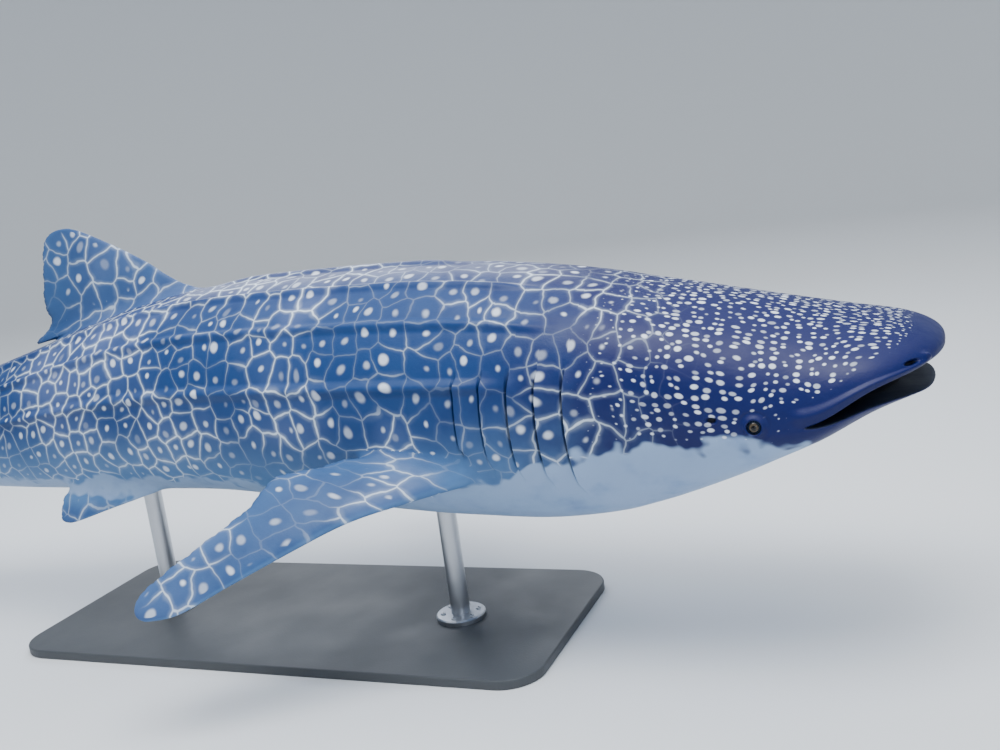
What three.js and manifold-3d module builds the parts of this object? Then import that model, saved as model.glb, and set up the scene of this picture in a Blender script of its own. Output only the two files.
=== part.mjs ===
// A whale shark, modelled still and life-size on a plain display stand.
// Millimetres, +Z up, +X towards the snout, +Y to the animal's left.
// The origin is the centre of the underside of the stand's base.
//
// Every place on the animal is given as station, side and height. Station runs back along the
// body's own line from the snout, side runs to the left and height runs up. All three are in
// hundredths of the total length, and the place function turns them into millimetres.

import * as THREE from "three";
import { mergeVertices } from "three/addons/utils/BufferGeometryUtils.js";
import Module from "manifold-3d";

const wasm = await Module();
wasm.setup();

// Driving dimensions
const TOTAL_LENGTH = 7000;
const HUNDREDTH = TOTAL_LENGTH / 100;
const GAP = 0.3;
const LINE_HEIGHT = 1080;
const STAND_STATION = 40;
const WELD = 1e-3;

// The swim of the tail: it swings to the right behind this station, and sinks a little.
const SWING = { from: 40, to: 81, degreesPerStation: 0.33 };
const SINK = { from: 42, over: 28, depth: 1.7 };

// Body sections. The half width, and the heights of the back and the belly, at each station.
const BODY = {
  station: [0, 3, 6, 10, 15, 20, 26, 33, 41, 49, 57, 65, 71, 77, 81],
  back: [2.2, 2.75, 3.45, 4.35, 5.45, 6.45, 7.2, 7.4, 7.3, 6.6, 5.25, 3.9, 3.1, 2.6, 2.5],
  belly: [0.7, 1.5, 3.0, 4.95, 6.75, 7.55, 7.45, 6.85, 6.0, 5.5, 4.6, 3.5, 2.8, 2.3, 2.3],
  side: [6.9, 6.9, 6.9, 7.0, 7.1, 7.2, 7.2, 7.0, 6.5, 5.8, 4.8, 3.7, 2.9, 2.3, 1.3],
};
const BODY_END = 81;
const SECTION_POWER = 2.3;

// The blunt front of the head: how far back the rounding reaches, and how square it is. It
// reaches less far back on the chin than over the snout.
const FRONT = { sideReach: 6.5, sidePower: 2.6, heightReach: 3, chinReach: 1.2, heightPower: 2.6 };

// The line of the mouth, falling from the front to the corner, and the gap between the lips.
const MOUTH = {
  station: [0, 3, 6, 9, 13],
  height: [1.15, 0.3, -1.25, -1.2, 0],
  corner: 6.2,
  openAtFront: 1.75,
  lipRise: 0.14,
  lipReach: 5,
  lipFade: 0.8,
  jawBack: 9.6,
  ahead: -1,
  steps: 8,
};
const HEAD_CLEARANCE = 9;
const MOUTH_HOLLOW = { station: 4.9, height: -0.3, long: 2.8, wide: 4.5, tall: 1.1 };

// Ridges along the back and sides, by their angle from the top of the section.
const RIDGE_ANGLES = [0, 27, 52, 80];
const RIDGE_FOOT = 4;
const RIDGE = { starts: [24, 19, 18, 20], ends: [43.5, 62, 68, 80], rise: 0.24, fade: 4 };
const KEEL = { angle: 80, foot: 12, rise: 0.75, from: 60, swell: 14, end: 82.5, fall: 4 };

// Gill slits: the flap in front of each one stands proud at its free edge.
const GILL = {
  first: 17.6,
  spacing: 1.5,
  count: 5,
  step: 0.34,
  slit: 0.14,
  top: 2.4,
  bottom: -5,
  shrink: 0.5,
  feather: 1.4,
  middle: 0.55,
  edge: 0.01,
};

const EYE = { station: 8.5, height: -1.15, radius: 27, proud: 9, rim: 9, rimRadius: 31 };
const RIM_FACETS = { section: 8, around: 20 };
const BALL_FACETS = { around: 16, down: 10 };
const SPIRACLE = { station: 10.5, height: -0.75, long: 17, tall: 11, deep: 12 };
const NOSTRIL = { station: 1.35, angle: 76, long: 38, tall: 9, deep: 26 };
const BARBEL = { station: 0.75, angle: 74, long: 26, tall: 12, deep: 16 };

// Fins. The root is a place on the body, and three angles turn the fin about it: sweep towards
// the tail, slope below the horizon, and twist, which lifts the trailing edge. Each row has the
// leading edge, as distance along the fin and distance back, and then the trailing edge.
const FOIL = { round: 1.3, trailing: 0.1 };
const CHORD_SHARES = [0.02, 0.1, 0.25, 0.5, 0.78, 1];
const STEPS_PER_ROW = 2;
const PECTORAL = {
  root: [23.5, -6.2, -4.2],
  sweep: 56.3,
  slope: 25,
  twist: 19,
  bow: 1.3,
  thick: [1.3, 1.15, 0.95, 0.8, 0.62, 0.45, 0.32, 0.2],
  rows: [
    [-2.3, -0.5, 2.6, 3.6],
    [0.2, -0.1, 5.1, 4.4],
    [4.4, 0.2, 8.0, 4.55],
    [7.4, 0.27, 10.25, 4.8],
    [10.8, -0.05, 12.1, 3.6],
    [14.2, -0.33, 14.8, 2.85],
    [17.2, -0.43, 17.6, 2.22],
    [19.55, 0.45, 19.55, 1.8],
  ],
};
const PELVIC = {
  root: [46.4, -3.2, -4.6],
  sweep: 12,
  slope: 55,
  twist: 6,
  bow: 0,
  thick: [0.8, 0.75, 0.6, 0.45, 0.3, 0.2],
  rows: [
    [-1.2, -0.3, -1.2, 6.2],
    [0.3, 0.2, 0.2, 7.4],
    [1.5, 2.2, 0.9, 8.8],
    [2.5, 4.1, 1.6, 8.2],
    [3.5, 6.0, 2.7, 8.0],
    [3.9, 7.0, 3.7, 7.7],
  ],
};
const FIRST_DORSAL = {
  root: [43.9, 0, 0],
  sweep: 0,
  slope: -90,
  twist: 0,
  bow: 0,
  thick: [1.5, 1.3, 1.05, 0.85, 0.65, 0.45, 0.3, 0.2],
  rows: [
    [5.4, 0, 4.0, 10.6],
    [7.1, 0.1, 5.3, 12.6],
    [7.6, 1.4, 5.5, 13.9],
    [8.4, 2.7, 6.6, 12.4],
    [9.4, 4.0, 8.0, 12.6],
    [10.9, 6.4, 10.0, 12.2],
    [12.1, 8.5, 11.6, 11.8],
    [12.65, 9.8, 12.5, 11.2],
  ],
};
const SECOND_DORSAL = {
  root: [63.6, 0, 0],
  sweep: 0,
  slope: -90,
  twist: 0,
  bow: 0,
  thick: [0.9, 0.8, 0.62, 0.45, 0.3, 0.2],
  rows: [
    [1.5, -0.2, 1.5, 4.4],
    [4.0, 0.2, 3.3, 4.6],
    [4.9, 1.4, 3.9, 5.8],
    [6.0, 2.8, 5.2, 5.2],
    [7.0, 4.1, 6.6, 5.3],
    [7.4, 4.9, 7.2, 5.5],
  ],
};
const ANAL = {
  root: [66.4, 0, 0],
  sweep: 0,
  slope: 90,
  twist: 0,
  bow: 0,
  thick: [0.85, 0.75, 0.6, 0.42, 0.3, 0.2],
  rows: [
    [1.2, -0.2, 1.2, 4.2],
    [3.3, 0.2, 2.8, 4.4],
    [4.3, 1.5, 3.3, 5.6],
    [5.5, 3.0, 4.6, 5.1],
    [6.7, 4.4, 6.2, 5.5],
    [7.1, 5.2, 6.9, 5.8],
  ],
};
const CAUDAL_PARTING = 0.3;
const CAUDAL_UPPER = {
  root: [77, 0, 0],
  sweep: 0,
  slope: -90,
  twist: 0,
  bow: 0,
  thick: [2.3, 2.1, 1.7, 1.3, 0.95, 0.7, 0.48, 0.3],
  rows: [
    [-CAUDAL_PARTING + GAP / HUNDREDTH, 2.2, -CAUDAL_PARTING + GAP / HUNDREDTH, 9.6],
    [1.6, 2.0, 1.2, 10.0],
    [3.1, 3.8, 2.9, 11.2],
    [5.6, 6.6, 5.4, 13.2],
    [8.4, 9.7, 8.2, 15.6],
    [11.4, 13.2, 11.2, 18.0],
    [14.2, 16.8, 14.0, 20.2],
    [16.2, 20.0, 16.0, 21.6],
  ],
};
const CAUDAL_LOWER = {
  root: [77, 0, 0],
  sweep: 0,
  slope: 90,
  twist: 0,
  bow: 0,
  thick: [2.3, 2.0, 1.6, 1.2, 0.85, 0.6, 0.42, 0.28],
  rows: [
    [CAUDAL_PARTING, 2.2, CAUDAL_PARTING, 9.6],
    [1.6, 1.6, 1.4, 9.6],
    [2.9, 2.7, 2.7, 9.8],
    [4.9, 4.6, 4.8, 10.2],
    [7.2, 6.6, 7.1, 10.9],
    [9.4, 8.6, 9.3, 11.6],
    [11.2, 10.4, 11.1, 12.4],
    [12.4, 12.0, 12.3, 13.0],
  ],
};

// Display stand
const BASE = { long: 2600, wide: 1100, tall: 40, corner: 160, bevel: 6 };
const BASE_FACETS = { bevel: 2, corner: 8 };
const ROD = { radius: 42, stations: [29, 51], sides: 28, sunk: 200 };
const COLLAR = { radius: 110, tall: 22, bevel: 5 };

// A value between the numbers of a table, on a smooth curve through them.
function along(stations, values, s) {
  const last = stations.length - 1;
  const at = Math.min(Math.max(s, stations[0]), stations[last]);
  let i = 0;
  while (i < last - 1 && at >= stations[i + 1]) i += 1;
  const gradient = (k) => (values[k + 1] - values[k]) / (stations[k + 1] - stations[k]);
  const width = (k) => stations[k + 1] - stations[k];
  const tangent = (k) => {
    if (k === 0) return gradient(0);
    if (k === last) return gradient(last - 1);
    const before = width(k - 1);
    const after = width(k);
    return (gradient(k - 1) * after + gradient(k) * before) / (before + after);
  };
  const h = width(i);
  const t = (at - stations[i]) / h;
  const start = (2 * t ** 3 - 3 * t ** 2 + 1) * values[i] + (t ** 3 - 2 * t ** 2 + t) * h * tangent(i);
  const end = (3 * t ** 2 - 2 * t ** 3) * values[i + 1] + (t ** 3 - t ** 2) * h * tangent(i + 1);
  return start + end;
}

function ease(t) {
  const c = Math.min(Math.max(t, 0), 1);
  return c * c * (3 - 2 * c);
}

const radians = THREE.MathUtils.degToRad;

// The place in millimetres of a station, side and height on the swimming body.
function place(station, side, height) {
  const turn = radians(SWING.degreesPerStation);
  const bent = Math.min(Math.max(station - SWING.from, 0), SWING.to - SWING.from);
  const straight = Math.max(station - SWING.to, 0);
  const angle = turn * bent;
  const back = Math.min(station, SWING.from) + Math.sin(angle) / turn + straight * Math.cos(angle);
  const right = (1 - Math.cos(angle)) / turn + straight * Math.sin(angle);
  const sunk = SINK.depth * ease((station - SINK.from) / SINK.over);
  return new THREE.Vector3(
    (STAND_STATION - back - side * Math.sin(angle)) * HUNDREDTH,
    (side * Math.cos(angle) - right) * HUNDREDTH,
    (height - sunk) * HUNDREDTH + LINE_HEIGHT,
  );
}

// How much of its full size the section has at a station near the blunt front.
function fullness(station, reach, power) {
  const t = Math.min(Math.max(1 - station / reach, 0), 1);
  return (1 - t ** power) ** (1 / power);
}

function mouthHeight(station) {
  return along(MOUTH.station, MOUTH.height, station);
}

function window(value, from, to, fade) {
  return ease((value - from) / fade) * ease((to - value) / fade);
}

// How far a ridge, lip or gill flap lifts the skin at a station, angle and height.
function relief(station, angle, height) {
  let lift = 0;
  RIDGE_ANGLES.forEach((crest, i) => {
    const near = Math.max(1 - Math.abs(angle - crest) / RIDGE_FOOT, 0);
    lift += RIDGE.rise * near * window(station, RIDGE.starts[i], RIDGE.ends[i], RIDGE.fade);
  });
  const keel = Math.max(1 - Math.abs(angle - KEEL.angle) / KEEL.foot, 0);
  const swell = ease((station - KEEL.from) / KEEL.swell) * ease((KEEL.end - station) / KEEL.fall);
  lift += KEEL.rise * keel * swell;
  const lip = Math.max(1 - Math.abs(angle - 90 + MOUTH.lipReach) / MOUTH.lipReach, 0);
  lift += MOUTH.lipRise * lip * window(station, 0, MOUTH.corner + MOUTH.lipFade, MOUTH.lipFade);
  return lift + gillLift(station, height);
}

// The flap rises towards its free edge and drops into the slit behind it.
function gillLift(station, height) {
  const run = (station - GILL.first) / GILL.spacing + 1;
  if (run < 0 || run > GILL.count) return 0;
  const flap = Math.floor(run);
  const bottom = GILL.bottom + GILL.shrink * flap;
  const reach = window(height, bottom, GILL.top, GILL.feather);
  const phase = run - flap;
  return reach * (GILL.step * phase * phase - (phase < GILL.slit ? GILL.slit : 0));
}

// One point of the body's skin. The angle runs from the back, 0, to the belly, 180.
function skin(station, angle, hand, grow = 0) {
  const centre = mouthHeight(station);
  const cos = Math.cos(radians(angle));
  const rounding = cos > 0 ? FRONT.heightReach : FRONT.chinReach;
  const tall = fullness(station, rounding, FRONT.heightPower);
  const wide = fullness(station, FRONT.sideReach, FRONT.sidePower);
  const sin = Math.sin(radians(angle));
  const power = 2 / SECTION_POWER;
  const reach = cos > 0
    ? along(BODY.station, BODY.back, station) - centre
    : along(BODY.station, BODY.belly, station) + centre;
  const up = Math.sign(cos) * Math.abs(cos) ** power;
  const out = Math.abs(sin) ** power;
  const flatHeight = centre + up * reach * tall;
  const lift = relief(station, angle, flatHeight) * Math.min(tall, wide) + grow;
  const side = out * along(BODY.station, BODY.side, station) * wide + lift * sin;
  return place(station, hand * side, flatHeight + lift * cos);
}

// Angles of the columns down one side, close together at the ridges and the lips.
const COLUMNS = [
  0, 4, 11, 17, 23, 27, 31, 38, 44, 48, 52, 56, 62, 69, 76, 80, 85, 90, 95, 101, 108, 117, 127, 138,
  150, 161, 171, 180,
];

function ring(station, grow) {
  const right = COLUMNS.map((angle) => skin(station, angle, -1, grow));
  const left = COLUMNS.slice(1, -1).map((angle) => skin(station, angle, 1, grow));
  return right.concat(left.reverse());
}

// A closed surface through rings of points, with flat ends. Columns past the mirror column are
// split along the other diagonal, so that the two faces of a thin form have like triangles.
function loft(rings, mirrorColumn) {
  const count = rings[0].length;
  const positions = [];
  rings.forEach((points) => points.forEach((p) => positions.push(p.x, p.y, p.z)));
  const ends = [rings[0], rings[rings.length - 1]].map((points) => {
    const middle = points.reduce((sum, p) => sum.add(p), new THREE.Vector3()).divideScalar(count);
    positions.push(middle.x, middle.y, middle.z);
    return positions.length / 3 - 1;
  });
  const index = [];
  const lastRing = (rings.length - 1) * count;
  for (let i = 0; i < count; i += 1) {
    const next = (i + 1) % count;
    index.push(ends[0], next, i);
    index.push(ends[1], lastRing + i, lastRing + next);
    for (let r = 0; r < rings.length - 1; r += 1) {
      const a = r * count + i;
      const b = r * count + next;
      const c = a + count;
      const d = b + count;
      if (i < mirrorColumn) index.push(a, b, d, a, d, c);
      else index.push(a, b, c, b, d, c);
    }
  }
  const geometry = new THREE.BufferGeometry();
  geometry.setAttribute("position", new THREE.Float32BufferAttribute(positions, 3));
  geometry.setIndex(index);
  return geometry;
}

function solid(geometry, matrix) {
  const bare = geometry.clone();
  bare.deleteAttribute("normal");
  bare.deleteAttribute("uv");
  if (matrix) bare.applyMatrix4(matrix);
  const merged = mergeVertices(bare, WELD);
  const made = new wasm.Manifold(
    new wasm.Mesh({
      numProp: 3,
      vertProperties: new Float32Array(merged.attributes.position.array),
      triVerts: new Uint32Array(merged.index.array),
    }),
  );
  if (made.volume() > 0) return made;
  const turned = new Uint32Array(merged.index.array);
  for (let i = 0; i < turned.length; i += 3) [turned[i], turned[i + 1]] = [turned[i + 1], turned[i]];
  return new wasm.Manifold(
    new wasm.Mesh({
      numProp: 3,
      vertProperties: new Float32Array(merged.attributes.position.array),
      triVerts: turned,
    }),
  );
}

function largest(shape) {
  return shape.decompose().reduce((best, piece) => (piece.volume() > best.volume() ? piece : best));
}

function geometryOf(shape) {
  const mesh = largest(shape).getMesh();
  const geometry = new THREE.BufferGeometry();
  geometry.setAttribute("position", new THREE.BufferAttribute(new Float32Array(mesh.vertProperties), 3));
  geometry.setIndex(new THREE.BufferAttribute(new Uint32Array(mesh.triVerts), 1));
  const flat = geometry.toNonIndexed();
  flat.computeVertexNormals();
  return flat;
}

// Stations of the rings of each length of body, closer where the form turns faster.
function spaced(from, to, count) {
  return Array.from({ length: count + 1 }, (_, i) => from + ((to - from) * i) / count);
}

const FRONT_STATIONS = [
  0.004, 0.06, 0.22, 0.5, 0.9, 1.4, 2, 2.8, 3.7, 4.7, 5.7, 6.6, 7.5, 8.5, 9.6, 11.3, 13.2, 14.9,
];

function gillStations() {
  const stations = [];
  for (let i = 0; i < GILL.count; i += 1) {
    const slit = GILL.first + (i - 1) * GILL.spacing;
    stations.push(slit + GILL.edge, slit + GILL.slit * GILL.spacing, slit + GILL.middle * GILL.spacing);
    stations.push(slit + GILL.spacing - GILL.edge);
  }
  return stations;
}

const LENGTHS = {
  head: [0, 16],
  gills: [16, 24],
  torso: [24, 45],
  tail_base: [45, 63],
  peduncle: [63, BODY_END],
};

const RING_STATIONS = {
  head: FRONT_STATIONS,
  gills: gillStations(),
  torso: spaced(25.5, 43.5, 7),
  tail_base: spaced(47, 61, 6),
  peduncle: spaced(65, 79, 7),
};

// One length of the body, cut square to its line, half a gap short of its neighbours.
function bodyLength(name, grow = 0) {
  const [from, to] = LENGTHS[name];
  const short = GAP / 2 / HUNDREDTH;
  const inner = RING_STATIONS[name].filter((s) => s > from + short && s < to - short);
  const front = from === 0 ? [] : [from + short];
  const stations = [...front, ...inner, to - short];
  return solid(loft(stations.map((s) => ring(s, grow)), 0));
}

// The whole body, larger all round by the gap, which is cut out of all that grows from it.
function grownBody() {
  const gap = GAP / HUNDREDTH;
  const inner = Object.values(RING_STATIONS).flat();
  const joints = Object.values(LENGTHS).slice(1).flatMap((span) => [span[0] - gap / 2, span[0] + gap / 2]);
  const stations = [...inner, ...joints, BODY_END + gap].sort((a, b) => a - b);
  return solid(loft(stations.map((s) => ring(s, gap)), 0));
}

// A prism across the head from an outline of stations and heights.
function acrossHead(outline) {
  const shape = new THREE.Shape(
    outline.map(([s, z]) => new THREE.Vector2((STAND_STATION - s) * HUNDREDTH, z * HUNDREDTH + LINE_HEIGHT)),
  );
  const wide = 2 * HEAD_CLEARANCE * HUNDREDTH;
  const geometry = new THREE.ExtrudeGeometry(shape, { depth: wide, bevelEnabled: false });
  const matrix = new THREE.Matrix4().makeRotationX(Math.PI / 2);
  matrix.premultiply(new THREE.Matrix4().makeTranslation(0, wide / 2, 0));
  return solid(geometry, matrix);
}

// The space of the lower jaw: under the line of its lip, and in front of a slanting cut. What is
// cut from the head also takes in the open mouth above that lip.
function jawSpace(upper) {
  const half = GAP / 2 / HUNDREDTH;
  const stations = spaced(MOUTH.ahead, MOUTH.corner, MOUTH.steps);
  const edge = stations.map((s) => {
    const open = MOUTH.openAtFront * (1 - Math.max(s, 0) / MOUTH.corner);
    return [s, mouthHeight(Math.max(s, 0)) + (upper ? half : -open - half)];
  });
  const back = upper ? half : -half;
  return acrossHead([...edge, [MOUTH.jawBack + back, -HEAD_CLEARANCE], [MOUTH.ahead, -HEAD_CLEARANCE]]);
}

function ellipsoid(long, wide, tall, centre, normal) {
  const toNormal = new THREE.Quaternion().setFromUnitVectors(new THREE.Vector3(0, 0, 1), normal);
  const matrix = new THREE.Matrix4().compose(centre, toNormal, new THREE.Vector3(long, wide, tall));
  return solid(new THREE.SphereGeometry(1, BALL_FACETS.around, BALL_FACETS.down), matrix);
}

// The hollow of the mouth, between the palate and the floor of the lower jaw.
function mouthHollow() {
  const centre = place(MOUTH_HOLLOW.station, 0, MOUTH_HOLLOW.height);
  const long = MOUTH_HOLLOW.long * HUNDREDTH;
  const wide = MOUTH_HOLLOW.wide * HUNDREDTH;
  const tall = MOUTH_HOLLOW.tall * HUNDREDTH;
  return ellipsoid(long, wide, tall, centre, new THREE.Vector3(0, 0, 1));
}

// A point of the skin near a height on the side, with the direction out of the skin. The angle
// is found by halving, and the direction from two small steps over the skin.
const HALVINGS = 24;
const STEP = { angle: 3, station: 0.2 };

function onSide(station, height, hand) {
  const heightOf = (angle) => skin(station, angle, hand).z;
  const target = height * HUNDREDTH + LINE_HEIGHT;
  let [upper, lower] = [0, 180];
  for (let i = 0; i < HALVINGS; i += 1) {
    const middle = (upper + lower) / 2;
    if (heightOf(middle) > target) upper = middle;
    else lower = middle;
  }
  return onSkin(station, upper, hand);
}

function onSkin(station, angle, hand) {
  const point = skin(station, angle, hand);
  const down = skin(station, angle + STEP.angle, hand).sub(skin(station, angle - STEP.angle, hand));
  const back = skin(station + STEP.station, angle, hand).sub(skin(station - STEP.station, angle, hand));
  const normal = down.cross(back).normalize();
  if (normal.y * hand < 0) normal.negate();
  return { point, normal };
}

function eyeCentre(hand) {
  const { point, normal } = onSide(EYE.station, EYE.height, hand);
  return { centre: point.clone().addScaledVector(normal, EYE.proud - EYE.radius), point, normal };
}

function eyeball(hand) {
  const { centre } = eyeCentre(hand);
  const radius = EYE.radius - GAP;
  return ellipsoid(radius, radius, radius, centre, new THREE.Vector3(0, hand, 0));
}

// The rim of the socket is a ring half sunk in the skin, and the socket is cut through both.
function withEye(head, hand) {
  const { centre, point, normal } = eyeCentre(hand);
  const toNormal = new THREE.Quaternion().setFromUnitVectors(new THREE.Vector3(0, 0, 1), normal);
  const matrix = new THREE.Matrix4().compose(point, toNormal, new THREE.Vector3(1, 1, 1));
  const ringForm = new THREE.TorusGeometry(EYE.rimRadius, EYE.rim, RIM_FACETS.section, RIM_FACETS.around);
  const rim = solid(ringForm, matrix);
  const socket = ellipsoid(EYE.radius, EYE.radius, EYE.radius, centre, new THREE.Vector3(0, hand, 0));
  return head.add(rim).subtract(socket);
}

function withSpiracle(head, hand) {
  const { point, normal } = onSide(SPIRACLE.station, SPIRACLE.height, hand);
  return head.subtract(ellipsoid(SPIRACLE.long, SPIRACLE.tall, SPIRACLE.deep, point, normal));
}

// Each nostril is a slot just above the lip, with a blunt barbel on its inner side.
function withNostril(head, hand) {
  const { point, normal } = onSkin(NOSTRIL.station, NOSTRIL.angle, hand);
  const slot = ellipsoid(NOSTRIL.long, NOSTRIL.tall, NOSTRIL.deep, point, normal);
  const inner = onSkin(BARBEL.station, BARBEL.angle, hand);
  const barbel = ellipsoid(BARBEL.long, BARBEL.tall, BARBEL.deep, inner.point, inner.normal);
  return head.add(barbel).subtract(slot);
}

// Half the thickness of a fin at a share of its chord: round in front, thin behind.
function foil(share) {
  return FOIL.round * Math.sqrt(share) * (1 - share) + FOIL.trailing * share;
}

function finFrame(fin) {
  const [sweep, slope, twist] = [fin.sweep, fin.slope, fin.twist].map(radians);
  const level = new THREE.Vector3(0, -Math.cos(slope), -Math.sin(slope));
  const up = new THREE.Vector3(0, -Math.sin(slope), Math.cos(slope));
  const out = level.clone().multiplyScalar(Math.cos(sweep)).add(new THREE.Vector3(Math.sin(sweep), 0, 0));
  const flat = level.clone().multiplyScalar(-Math.sin(sweep)).add(new THREE.Vector3(Math.cos(sweep), 0, 0));
  const back = flat.clone().multiplyScalar(Math.cos(twist)).addScaledVector(up, Math.sin(twist));
  const normal = up.clone().multiplyScalar(Math.cos(twist)).addScaledVector(flat, -Math.sin(twist));
  return { out, back, normal };
}

// A fin from its rows: a foil section at each row, and between rows on a smooth curve.
function finBlade(fin, hand) {
  const { out, back, normal } = finFrame(fin);
  const rowNumbers = fin.rows.map((_, i) => i);
  const column = (k) => fin.rows.map((row) => row[k]);
  const steps = (fin.rows.length - 1) * STEPS_PER_ROW;
  const rings = spaced(0, fin.rows.length - 1, steps).map((t) => {
    const [leadOut, leadBack, trailOut, trailBack] = [0, 1, 2, 3].map((k) => along(rowNumbers, column(k), t));
    const thick = along(rowNumbers, fin.thick, t);
    const bow = fin.bow * Math.sin((Math.PI * t) / (fin.rows.length - 1));
    const at = (share, lift) => {
      const p = new THREE.Vector3(...fin.root);
      p.addScaledVector(out, leadOut + (trailOut - leadOut) * share);
      p.addScaledVector(back, leadBack + (trailBack - leadBack) * share);
      p.addScaledVector(normal, bow + lift * thick);
      return place(p.x, p.y * -hand, p.z);
    };
    const upper = CHORD_SHARES.map((share) => at(share, foil(share)));
    const lower = CHORD_SHARES.map((share) => at(share, -foil(share)));
    return [at(0, 0), ...upper, ...lower.reverse()];
  });
  return solid(loft(rings, CHORD_SHARES.length));
}

function fleshFin(fin, body, hand) {
  return largest(finBlade(fin, hand).subtract(body));
}

function standBase() {
  const shape = new THREE.Shape();
  const x = BASE.long / 2 - BASE.bevel;
  const y = BASE.wide / 2 - BASE.bevel;
  const r = BASE.corner;
  shape.moveTo(-x + r, -y);
  shape.lineTo(x - r, -y);
  shape.absarc(x - r, -y + r, r, -Math.PI / 2, 0, false);
  shape.lineTo(x, y - r);
  shape.absarc(x - r, y - r, r, 0, Math.PI / 2, false);
  shape.lineTo(-x + r, y);
  shape.absarc(-x + r, y - r, r, Math.PI / 2, Math.PI, false);
  shape.lineTo(-x, -y + r);
  shape.absarc(-x + r, -y + r, r, Math.PI, 1.5 * Math.PI, false);
  return new THREE.ExtrudeGeometry(shape, {
    depth: BASE.tall - 2 * BASE.bevel,
    bevelThickness: BASE.bevel,
    bevelSize: BASE.bevel,
    bevelSegments: BASE_FACETS.bevel,
    curveSegments: BASE_FACETS.corner,
  }).translate(0, 0, BASE.bevel);
}

// A rod with a round collar at its foot. Its top is cut to the belly it carries.
function standRod(station, body) {
  const foot = place(station, 0, 0);
  const bottom = BASE.tall + GAP;
  const top = foot.z - ROD.sunk;
  const outline = [
    new THREE.Vector2(0, bottom),
    new THREE.Vector2(COLLAR.radius, bottom),
    new THREE.Vector2(COLLAR.radius, bottom + COLLAR.tall - COLLAR.bevel),
    new THREE.Vector2(COLLAR.radius - COLLAR.bevel, bottom + COLLAR.tall),
    new THREE.Vector2(ROD.radius, bottom + COLLAR.tall),
    new THREE.Vector2(ROD.radius, top),
    new THREE.Vector2(0, top),
  ];
  const matrix = new THREE.Matrix4().makeRotationX(Math.PI / 2);
  matrix.premultiply(new THREE.Matrix4().makeTranslation(foot.x, foot.y, 0));
  const rod = solid(new THREE.LatheGeometry(outline, ROD.sides), matrix);
  return largest(rod.subtract(body));
}

const MATERIALS = {
  dark: { color: 0x34495f, roughness: 0.55, metalness: 0 },
  flank: { color: 0x4c647c, roughness: 0.55, metalness: 0 },
  fin: { color: 0x5a7289, roughness: 0.55, metalness: 0 },
  eye: { color: 0x0c1014, roughness: 0.1, metalness: 0 },
  base: { color: 0x3a3c3f, roughness: 0.5, metalness: 0 },
  rod: { color: 0xb9bcc0, roughness: 0.3, metalness: 1 },
};

const shark = new THREE.Group();

function put(name, geometry, look) {
  const mesh = new THREE.Mesh(geometry, new THREE.MeshStandardMaterial(MATERIALS[look]));
  mesh.name = name;
  shark.add(mesh);
}

// Head, parted from the lower jaw along the mouth
const wholeHead = bodyLength("head");
const hollow = mouthHollow();
let head = wholeHead.subtract(jawSpace(true)).subtract(hollow);
for (const hand of [-1, 1]) {
  head = withEye(head, hand);
  head = withSpiracle(head, hand);
  head = withNostril(head, hand);
}
put("head", geometryOf(head), "dark");
put("lower_jaw", geometryOf(wholeHead.intersect(jawSpace(false)).subtract(hollow)), "dark");
put("eye_right", geometryOf(eyeball(-1)), "eye");
put("eye_left", geometryOf(eyeball(1)), "eye");

// The rest of the body
put("gills", geometryOf(bodyLength("gills")), "flank");
put("torso", geometryOf(bodyLength("torso")), "flank");
put("tail_base", geometryOf(bodyLength("tail_base")), "flank");
put("peduncle", geometryOf(bodyLength("peduncle")), "flank");

// Fins
const cutter = grownBody();
put("first_dorsal_fin", geometryOf(fleshFin(FIRST_DORSAL, cutter, -1)), "fin");
put("second_dorsal_fin", geometryOf(fleshFin(SECOND_DORSAL, cutter, -1)), "fin");
put("anal_fin", geometryOf(fleshFin(ANAL, cutter, -1)), "fin");
put("caudal_fin_upper", geometryOf(fleshFin(CAUDAL_UPPER, cutter, -1)), "fin");
put("caudal_fin_lower", geometryOf(fleshFin(CAUDAL_LOWER, cutter, -1)), "fin");
put("pectoral_fin_right", geometryOf(fleshFin(PECTORAL, cutter, -1)), "fin");
put("pectoral_fin_left", geometryOf(fleshFin(PECTORAL, cutter, 1)), "fin");
put("pelvic_fin_right", geometryOf(fleshFin(PELVIC, cutter, -1)), "fin");
put("pelvic_fin_left", geometryOf(fleshFin(PELVIC, cutter, 1)), "fin");

// Stand
put("stand_base", standBase(), "base");
put("stand_rod_front", geometryOf(standRod(ROD.stations[0], cutter)), "rod");
put("stand_rod_rear", geometryOf(standRod(ROD.stations[1], cutter)), "rod");

export default shark;
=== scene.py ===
"""The looks of a whale shark, modelled still and life-size on a plain display stand.

A place on the animal is given as station, side and height. Station runs back along the body's
own line from the snout, side runs to the animal's left, and height runs up. All three are in
hundredths of the total length, and Swim.place turns them into metres in the frame of the part.
An angle on a section of the body runs from the back, 0, to the belly, 180.
"""

import logging
import math
from dataclasses import dataclass, field
from enum import Enum
from typing import Any

import bpy
import numpy as np
from mathutils import Matrix, Vector


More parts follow.
